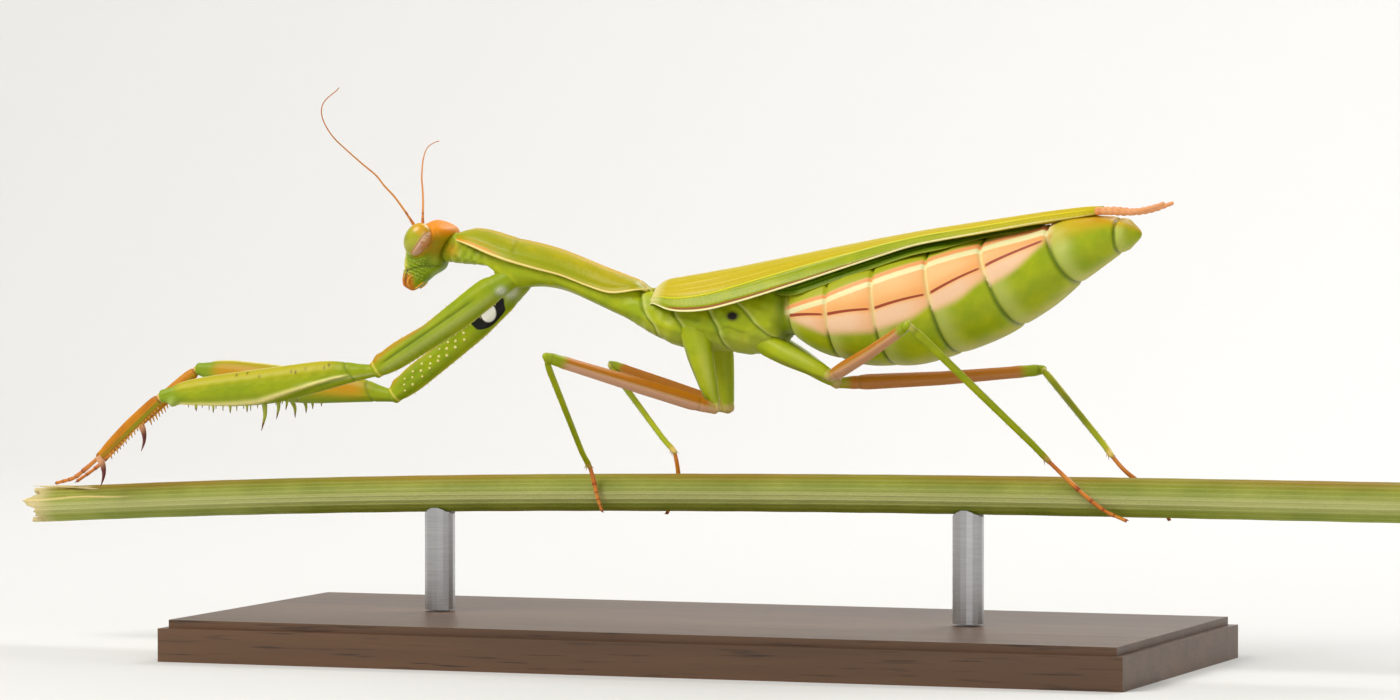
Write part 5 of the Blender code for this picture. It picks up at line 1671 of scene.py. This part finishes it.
def make_fore_femur(side):
    """A fore femur with its ridges, its stripes and its spines."""
    leg = "fore_" + side
    net, share, turn = limb_outline(leg, 1, 320)
    ridge_turn = np.interp(share[:, 0], (0.10, 0.18, 0.34, 0.55, 1.0), (352, 345, 318, 292, 286))[:, None]
    ridge = side_at(turn, ridge_turn, 8) * ramp(share, 0.10, 0.16) * (1 - ramp(share, 0.90, 0.95))
    under = side_at(turn, ridge_turn - 22, 11) * ramp(share, 0.10, 0.16)
    hip = bump(share - 0.115 - 0.02 * np.sin(np.radians(turn)), 0.008)
    lobe = bump(share - 0.955, 0.022) * side_at(turn, 292, 34)
    middle = ramp(share, 0.14, 0.22) * (1 - ramp(share, 0.90, 0.96))
    outer_face = side_at(turn, 15, 60)
    relief = 0.14 * ridge - 0.07 * under - 0.05 * hip + 0.42 * lobe + 0.10 * side_at(turn, 90, 8) * middle
    relief = relief - 0.05 * side_at(turn, 20, 14) * middle
    relief = relief + 0.02 * np.sin(share * 90.0 + turn * 0.04) * outer_face
    relief = relief - 0.03 * bump(share - 0.925 - 0.02 * np.cos(np.radians(turn - 60)), 0.012)
    spots = specks(share, turn, 9, 7, 0.2, 0.9, 50, 40, 0.005)
    ochre = side_at(turn, 165, 62) * ramp(share, 0.08, 0.2) * (1 - 0.8 * ramp(share, 0.86, 0.95))
    whole = pushed(net, relief)
    masks = {
        "yellow": np.clip(side_at(turn, 58, 34) * ramp(share, 0.12, 0.26), 0, 0.95),
        "ochre": np.clip(ochre, 0, 1),
        "green": np.clip(ramp(share, 0.90, 0.96) * 0.8 + side_at(turn, 250, 24) * 0.7, 0, 0.9),
        "pale": np.clip(0.6 * side_at(turn, 330, 10) * (1 - ramp(share, 0.28, 0.4)) + 0.5 * lobe, 0, 0.8),
        "shade": np.clip(0.45 * hip + 0.35 * under, 0, 0.9),
        "cream": np.clip(0.95 * ridge + 0.85 * side_at(turn, 92, 6) * middle, 0, 1),
        "speck": np.clip(spots, 0, 0.9),
    }
    piece("fore_femur_shell_" + side, whole, masks, femur_paint, ["fore_femur_" + side])
    start, length, ahead = limb_frame(leg, 1)[:3]
    lowest = net[:, :, 2].min(axis=1)
    sign = SIDES[side]
    spikes = []
    for row, lean in ((LONG_SPINES, -0.14), (SHORT_SPINES, 0.2)):
        for place, tall, inset in row:
            root = start + ahead * length * place
            root = np.array([root[0], root[1] + inset * sign, lowest[ring_at(share, place)] + 0.5])
            down = np.array([lean * tall, math.copysign(0.1, inset) * sign, -tall - 0.5])
            if side == "right":
                down = np.array([lean * tall, 0.75 * tall, -0.62 * tall - 0.5])
            bend = np.array([0.10 * tall, 0.0, 0.0])
            path = [root, root + down * 0.5 + bend, root + down]
            spikes.append(spike(path, spine_paint, 0.17 + 0.05 * tall))
    for number in range(INNER_SPINES):
        place = 0.56 + 0.36 * number / INNER_SPINES
        root = start + ahead * length * place
        root = np.array([root[0], root[1] - 0.35 * sign, lowest[ring_at(share, place)] + 0.35])
        tall = 0.30 + 0.18 * (number % 2)
        down = np.array([-0.05, -0.08 * sign, -tall - 0.35])
        spikes.append(spike([root, root + down * 0.5, root + down], spine_paint, 0.10))
    finished(merged("fore_femur_spines_" + side, spikes))
    teeth = []
    for number in range(RIDGE_TEETH):
        place = 0.24 + 0.66 * number / RIDGE_TEETH
        degrees = ridge_turn[ring_at(share, place), 0] - 4
        teeth.append((place, degrees, 0.17 + 0.05 * math.sin(number * 3.1), 0.05, 0.0))
    points, arrows = studs_on(whole, share, teeth, 0.03)
    finished(grown("fore_femur_teeth_" + side, THORNS, points, pearl_paint, arrows=arrows))


for side in SIDES:
    make_fore_femur(side)

# %% [markdown]
# ## Fore tibiae and claws
# The tibia closes on the femur like the blade of a jackknife. A comb of leaning teeth runs along its lower
# edge and a long curved claw ends it, pale at the root and dark red at the point.

# %% Fore tibiae
TIBIA_TINTS = {"green": (0.30, 0.34, 0.002), "cream": (0.84, 0.66, 0.20), "shade": (0.20, 0.06, 0.006)}
tibia_paint = cuticle("cuticle_fore_tibia", (0.60, 0.23, 0.002), (0.48, 0.15, 0.002), TIBIA_TINTS)
tooth_paint = cuticle("cuticle_tooth", (0.72, 0.36, 0.03), (0.62, 0.26, 0.012),
                      {"tip": (0.14, 0.018, 0.006)}, rough=0.3, coat=0.4, depth=0.004)
claw_paint = cuticle("cuticle_claw", (0.76, 0.40, 0.20), (0.66, 0.30, 0.12), {"tip": (0.12, 0.008, 0.006)},
                     rough=0.25, coat=0.5, depth=0.004)
COMB_TEETH = 17
CLAW_PATH = ((-0.1, 0.0), (0.42, 0.9), (0.52, 1.9), (0.12, 2.95))  # forward and down from the tibia's end


def make_fore_tibia(side):
    """A fore tibia with its comb and its claw."""
    leg = "fore_" + side
    net, share, turn = limb_outline(leg, 2, 150)
    middle = ramp(share, 0.04, 0.12)
    relief = 0.07 * side_at(turn, 270, 12) * middle + 0.05 * side_at(turn, 90, 12) * middle
    relief = relief - 0.05 * side_at(turn, 320, 12) * middle - 0.08 * bump(share - 0.06, 0.012)
    green = side_at(turn, 315, 30) * (1 - 0.55 * ramp(share, 0.35, 0.9)) * 0.9 + 0.5 * side_at(turn, 200, 24)
    masks = {
        "green": np.clip(green, 0, 0.9),
        "cream": np.clip(side_at(turn, 90, 9) * 0.5 + bump(share - 0.02, 0.03) * 0.8, 0, 0.9),
        "shade": np.clip(bump(share - 0.065, 0.010) * 0.7 + ramp(share, 0.97, 1.0) * 0.5, 0, 0.8),
    }
    piece("fore_tibia_shell_" + side, pushed(net, relief), masks, tibia_paint, ["fore_tibia_" + side])
    start, length, ahead = limb_frame(leg, 2)[:3]
    inward = unit(-UPWARD + ahead * float(ahead @ UPWARD))
    teeth = []
    for number in range(COMB_TEETH):
        rank = number / (COMB_TEETH - 1)
        tall = 0.32 + 0.28 * rank + 0.05 * math.sin(number * 2.4)
        root = start + ahead * length * (0.13 + 0.75 * rank) + inward * 0.22
        tip = root + inward * (tall + 0.25) + ahead * 0.38 * tall
        bend = (root + tip) / 2 - ahead * 0.06
        teeth.append(spike([root, bend, tip], tooth_paint, 0.16, 0.02, 0.6, 0.95))
    finished(merged("tibia_comb_" + side, teeth))
    end = joint(leg, 3)
    path = [end + (forward, 0.1 * SIDES[side], -down) for forward, down in CLAW_PATH]
    claw = beaded("tibia_claw_" + side, smooth_line(path, 40, 5.0), claw_paint, 0.42, 0.03, 0, 0.0, 40, 16,
                  1.0)
    finished(with_tip(claw, 0.12, 0.5))


for side in SIDES:
    make_fore_tibia(side)

# %% [markdown]
# ## Middle and hind legs
# The walking legs are slim. Their coxae are full and green, their femora orange above and pink below with
# keels top and bottom, their knees green, and their tibiae yellow-green with small spurs.

# %% Walking legs
WALK_TINTS = {"orange": (0.52, 0.17, 0.003), "pink": (0.68, 0.38, 0.23), "green": (0.31, 0.38, 0.001),
              "pale": (0.52, 0.54, 0.08), "shade": (0.14, 0.13, 0.002), "cream": (0.74, 0.60, 0.18)}
walk_paint = cuticle("cuticle_walking_leg", (0.40, 0.45, 0.001), (0.31, 0.38, 0.001), WALK_TINTS)
spur_paint = cuticle("cuticle_spur", (0.60, 0.40, 0.06), (0.50, 0.28, 0.04), {"along": (0.24, 0.06, 0.012)},
                     depth=0.004)

TIBIA_HAIRS = 26
SPUR_TURNS = (200, 250, 300, 340)


def walking_masks(part, share, turn, tone):
    """The paint masks of one length of a walking leg. Tone says how rosy the femur is."""
    masks = {name: np.zeros_like(share) for name in WALK_TINTS}
    if part == "coxa":
        masks["pink"] = 0.55 * ramp(share, 0.90, 1.0)
        masks["pale"] = 0.55 * side_at(turn, 35, 26) * bump(share - 0.5, 0.35)
        masks["shade"] = 0.5 * side_at(turn, 300, 12) * ramp(share, 0.1, 0.3)
    if part == "femur":
        knee = ramp(share, 0.86, 0.95)
        hip = 0.7 * (1 - ramp(share, 0.02, 0.08))
        upper = (1 - knee) * (1 - hip)
        lower = (1 - ramp(np.sin(np.radians(turn)), -0.35, 0.15)) * upper
        masks["orange"] = 1.1 * upper
        masks["pink"] = tone * lower + 0.7 * tone * hip
        masks["green"] = knee + 0.8 * (1 - tone) * hip
        masks["shade"] = 0.25 * bump(share - 0.10, 0.008) + 0.4 * bump(share - 0.975, 0.006)
        masks["cream"] = 0.6 * side_at(turn, 90, 9) * knee + 0.4 * side_at(turn, 0, 6) * (1 - knee)
    if part == "tibia":
        ends = np.maximum(1 - ramp(share, 0.0, 0.05), ramp(share, 0.95, 1.0))
        masks["orange"] = 0.25 * (1 - tone) * side_at(turn, 90, 40) + 0.6 * ramp(share, 0.93, 1.0)
        masks["pale"] = 0.6 * side_at(turn, 60, 22)
        masks["shade"] = 0.4 * bump(share - 0.04, 0.012)
        masks["cream"] = 0.6 * ends
    return {name: np.clip(mask, 0, 1) for name, mask in masks.items()}


def make_walking_leg(leg, tone):
    """The three lengths of a middle or hind leg, and the tibia's spurs."""
    kind, side = leg.split("_")
    for number, part in enumerate(LENGTHS):
        net, share, turn = limb_outline(leg, number, (130, 260, 200)[number])
        middle = ramp(share, 0.08, 0.16) * (1 - ramp(share, 0.88, 0.94))
        keel = side_at(turn, 90, 11) + side_at(turn, 270, 11)
        relief = (0.02, 0.09, 0.035)[number] * keel * middle
        relief = relief - (0.12, 0.05, 0.0)[number] * side_at(turn, (300, 350, 0)[number], 14) * middle
        relief = relief - 0.04 * bump(share - (0.93, 0.10, 0.04)[number], 0.010)
        relief = relief + (0.0, 0.07, 0.03)[number] * bump(share - 0.965, 0.03)
        masks = walking_masks(part, share, turn, tone)
        shell = "_".join((kind, part, "shell", side))
        piece(shell, pushed(net, relief), masks, walk_paint, ["_".join((kind, part, side))])
    ahead = limb_frame(leg, 2)[2]
    hairs = []
    for number in range(TIBIA_HAIRS):
        degrees = (250, 290, 70)[number % 3] + 10 * math.sin(number * 1.9)
        tall = 0.22 + 0.05 * math.sin(number * 2.2)
        hairs.append((0.10 + 0.88 * number / TIBIA_HAIRS, degrees, tall, 0.03, 1.1 * ahead))
    spurs = [(0.985, degrees, 0.62, 0.07, 1.6 * ahead) for degrees in SPUR_TURNS]
    points, arrows = studs_on(net, share, hairs, 0.02)
    spur_points, spur_arrows = studs_on(net, share, spurs, 0.03)
    thorns = grown("_".join((kind, "tibia_spurs", side)), THORNS, points + spur_points, spur_paint,
                   arrows=arrows + spur_arrows)
    finished(thorns)


for leg, tone in (("mid_left", 0.95), ("mid_right", 0.5), ("hind_left", 0.6), ("hind_right", 0.25)):
    make_walking_leg(leg, tone)

# %% [markdown]
# ## Feet
# A foot is five joints in a row, the first the longest, each with a small pad below, and it ends in two
# hooked claws. The fore feet rest on the stem and the others hook over its sides.

# %% Feet
# The paths of the feet from the ankle on, as (x, distance out, z).
FOOT_PATHS = {
    "fore_left": ((-63.5, 3.0, 17.5), (-65.6, 1.7, 16.3), (-68.0, 0.7, 15.75)),
    "fore_right": ((-62.6, 2.7, 19.6), (-64.7, 1.9, 17.3), (-66.6, 1.0, 15.85)),
    "mid_left": ((-10.2, 2.2, 17.6), (-9.9, 2.35, 16.6), (-9.6, 2.35, 15.4), (-9.3, 2.1, 14.3)),
    "mid_right": ((-2.9, 1.7, 18.4), (-3.0, 2.3, 17.0), (-3.4, 2.4, 15.4), (-4.0, 1.6, 13.9)),
    "hind_left": ((37.3, 2.5, 18.4), (39.2, 2.4, 16.7), (41.2, 2.4, 15.2), (43.2, 2.1, 14.4)),
    "hind_right": ((41.8, 1.7, 18.9), (43.4, 2.3, 17.6), (45.0, 2.4, 16.0), (46.2, 1.9, 14.3)),
}
FOOT_JOINTS = (0.0, 0.40, 0.58, 0.72, 0.84, 1.0)
foot_paint = cuticle("cuticle_foot", (0.72, 0.26, 0.03), (0.58, 0.16, 0.015), {"tip": (0.30, 0.05, 0.008)},
                     rough=0.35, coat=0.3, depth=0.006)


def make_foot(leg):
    """The five joints of a foot and its two claws."""
    sign = SIDES[leg.split("_")[1]]
    points = [joint(leg, 3)] + [np.array([x, sign * out, z]) for x, out, z in FOOT_PATHS[leg]]
    line = smooth_line(points, 101, 7.0)
    parts = []
    for number, (low, high) in enumerate(zip(FOOT_JOINTS, FOOT_JOINTS[1:])):
        stretch = line[int(low * 100) : min(int(high * 100) + 4, 101)]
        root, tip = 0.20 - 0.012 * number, 0.25 - 0.018 * number
        parts.append(with_tip(beaded("joint", stretch, foot_paint, root, tip, 0, 0.0, 16, 12, 2.2), 0.8,
                              1.0))
    ahead = unit(line[-1] - line[-10])
    aside = unit(np.cross(ahead, UPWARD))
    inward = unit(np.array([line[-1][0], 0.0, 15.4]) - line[-1])
    for swing in (-1, 1):
        end = line[-3]
        knee = end + ahead * 0.30 + aside * 0.14 * swing
        path = [end, knee, end + ahead * 0.48 + aside * 0.22 * swing + inward * 0.2]
        parts.append(spike(path, foot_paint, 0.09, 0.015, 0.1, 0.6))
    finished(merged("foot_" + leg, parts), ["_".join((leg.split("_")[0], "tarsus", leg.split("_")[1]))])


for leg in FOOT_PATHS:
    make_foot(leg)

# %% [markdown]
# ## Cerci
# Two jointed feelers trail from the tail. Each is a row of eleven beads that narrows to a blunt point.

# %% Cerci
CERCUS_PATH = ((39.9, 43.3), (41.0, 43.4), (43.0, 43.15), (45.0, 43.5), (46.6, 44.1))
CERCUS_SPREAD = 1.5
cercus_paint = cuticle("cuticle_cercus", (0.84, 0.42, 0.18), (0.74, 0.30, 0.10),
                       {"along": (0.78, 0.36, 0.16)}, glow=0.3)
for side, sign in SIDES.items():
    path = smooth_line([(x, CERCUS_SPREAD * sign, z) for x, z in CERCUS_PATH], 40, 4.0)
    cercus = beaded("cercus_beads_" + side, path, cercus_paint, 0.37, 0.17, 11, 0.22, 220, 20, 1.6)
    finished(cercus, ["cercus_" + side])

# %% [markdown]
# ## Stem
# The perch is a short length of a green plant stem. It is hollow, finely ribbed and a little brown on top,
# and its left end is torn into uneven tongues with a few loose strands. A pale band along the side towards
# the camera is a painted highlight.

# %% Stem
STEM_RINGS = 420
STEM_STEPS = 180
STEM_WALL = 0.42
STEM_LINING = 60  # how many rings of the inside are made, from the torn end on
TEAR = 2.6
STRANDS = 16
STRAND_RING = 26


def make_stem():
    """The ribbed tube with its torn end: the outer face, over the torn rim, and back along the inside."""
    triangles = solid("perch_stem")
    left, right = triangles[:, :, 0].min(), triangles[:, :, 0].max()
    angles = ring_angles(STEM_STEPS)
    places = np.arange(left + 4.0, right - 0.2, 1.5)
    middles, reaches = measured(triangles, places, angles, mid_height)
    middles = middles[:, 1]
    xs = np.linspace(left + 0.1, right, STEM_RINGS)
    slope = np.polyfit(places[:12], middles[:12], 1)
    middle = np.where(xs < places[0], np.polyval(slope, xs), np.interp(xs, places, middles))
    middle = blur(middle, 6.0)
    reach = blur(np.interp(xs, places, reaches.mean(axis=1)), 10.0)
    ribs = 0.020 * np.cos(angles * 22) + 0.012 * np.cos(angles * 51 + 1.0)
    wobble = 0.02 * np.sin(xs * 0.9)[:, None] * np.cos(angles * 3)
    radius = reach[:, None] + ribs + wobble - 0.03
    depth = np.clip((xs - left) / 3.5, 0.0, 1.0)
    tear = 0.5 + 0.3 * np.cos(angles * 3 + 0.6) + 0.16 * np.cos(angles * 7 + 2.0)
    tear = tear + 0.06 * np.cos(angles * 19)
    x = xs[:, None] + TEAR * tear * (1 - depth[:, None]) ** 1.5
    up = middle[:, None] + radius * np.sin(angles)
    outer = np.stack([x + 0 * radius, radius * np.cos(angles), up], axis=-1)
    inner_reach = radius[:STEM_LINING] - STEM_WALL - 0.05 * np.cos(angles * 9)
    rows = slice(0, STEM_LINING)
    inner = np.stack([x[rows] + 0.05 + 0 * inner_reach, inner_reach * np.cos(angles),
                      middle[rows, None] + inner_reach * np.sin(angles)], axis=-1)
    net = np.concatenate([inner[::-1], outer])
    turn = np.degrees(angles)[None, :] + 0 * net[:, :, 0]
    along = net[:, :, 0]
    inside = np.concatenate([np.ones((STEM_LINING, STEM_STEPS)), np.zeros_like(radius)])
    rib = np.concatenate([0 * inner_reach, np.clip(ribs / 0.03, 0, 1) + 0 * radius])
    split = side_at(turn, 158 + 3 * np.sin(along * 0.7), 3.0) * (1 - ramp(along, left + 9, left + 13))
    brown = side_at(turn, 102, 34) * (0.85 + 0.25 * np.sin(along * 0.21 + 1.0))
    masks = {
        "brown": np.clip(brown * (1 - inside), 0, 0.95),
        # Painted highlight: the pale band along the side that faces the camera. The ribs are a little paler
        # too.
        "pale": np.clip(side_at(turn, 190, 22) * 0.8 + 0.18 * rib, 0, 0.9) * (1 - inside),
        "rib": np.clip(1 - rib, 0, 1) * 0.22 * (1 - inside),
        "torn": np.clip(inside + (1 - ramp(along, left + 1.0, left + 4.0)) * 0.85, 0, 1),
        "split": np.clip(split * (1 - inside), 0, 0.9),
    }
    net = pushed(net, -0.10 * masks["split"])
    piece("stem_tube", net, masks, stem_paint, ["perch_stem"])
    strands = []
    rows = np.random.default_rng(11).random((STRANDS, 4))
    for turn_share, reach_share, bend, lift in rows:
        swing = 2 * np.pi * turn_share
        base = outer[STRAND_RING, int(turn_share * STEM_STEPS) % STEM_STEPS]
        core = np.array([base[0], 0.0, middle[STRAND_RING]])
        base = core + (base - core) * 0.86
        tip = base + (left + 0.2 - base[0]) * np.array([0.55 + 0.45 * reach_share, 0.0, 0.0])
        tip = tip + (0.0, 0.5 * (bend - 0.5), 0.7 * (lift - 0.5))
        knee = (base + tip) / 2 + (0.0, 0.2 * math.cos(swing), 0.2 * math.sin(swing))
        strand = beaded("strand", smooth_line([base, knee, tip], 14, 1.2), strand_paint, 0.12, 0.03, 0, 0.0,
                        14, 7)
        strands.append(strand)
    finished(merged("stem_strands", strands))


# The pale tint is the colour of the painted highlight along the stem's side.
STEM_TINTS = {"brown": (0.30, 0.16, 0.004), "pale": (0.54, 0.53, 0.22), "rib": (0.17, 0.21, 0.010),
              "torn": (0.70, 0.56, 0.28), "split": (0.78, 0.62, 0.24)}
stem_paint = cuticle("fresh_stem", (0.29, 0.33, 0.03), (0.20, 0.25, 0.010), STEM_TINTS, rough=0.5, coat=0.0,
                     depth=0.04, blotch=260.0, grain=3500.0)
strand_paint = cuticle("torn_fibre", (0.72, 0.60, 0.32), (0.60, 0.46, 0.20), rough=0.7, coat=0.0)
make_stem()

# %% [markdown]
# ## Stand
# The stand is as plain as can be: an oiled dark wood base and two brushed steel rods. Its solids are right
# as they are and only take their materials.

# %% Stand materials
def wood_paint():
    """Dark oiled wood with long grain along X."""
    paint, tree, shader = shader_of("oiled_wood")
    place = put(tree, "ShaderNodeTexCoord").outputs["Object"]
    wave = noise_on(tree, place, 420.0, 4.0, (0.06, 1.0, 1.0))
    fibre = noise_on(tree, place, 3200.0, 3.0, (0.04, 1.0, 1.0))
    colour = mixed(tree, wave, (0.055, 0.028, 0.014, 1.0), (0.17, 0.085, 0.040, 1.0))
    pores = put(tree, "ShaderNodeMapRange", {"Value": fibre, "From Min": 0.58, "From Max": 0.72})
    colour = mixed(tree, pores.outputs[0], colour, (0.03, 0.016, 0.010, 1.0))
    height = {"Strength": 0.35, "Distance": 0.05 * MM, "Height": fibre}
    relief = put(tree, "ShaderNodeBump", height, invert=True).outputs[0]
    fill(tree, shader, {"Base Color": colour, "Normal": relief, "Roughness": 0.42})
    return paint


def steel_paint():
    """Brushed steel with fine rings round the rod."""
    paint, tree, shader = shader_of("brushed_steel")
    place = put(tree, "ShaderNodeTexCoord").outputs["Object"]
    brush = noise_on(tree, place, 9000.0, 2.0, (0.05, 0.05, 1.0))
    colour = mixed(tree, brush, (0.42, 0.42, 0.43, 1.0), (0.62, 0.62, 0.62, 1.0))
    height = {"Strength": 0.2, "Distance": 0.01 * MM, "Height": brush}
    relief = put(tree, "ShaderNodeBump", height).outputs[0]
    fill(tree, shader, {"Base Color": colour, "Normal": relief, "Metallic": 1.0, "Roughness": 0.34})
    return paint


def repaint(node, paint):
    """Gives a solid that stays its finished material."""
    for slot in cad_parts[node].material_slots:
        slot.material = paint


steel = steel_paint()
repaint("stand_base", wood_paint())
for rod in ("stand_rod_front", "stand_rod_rear"):
    repaint(rod, steel)

# %% [markdown]
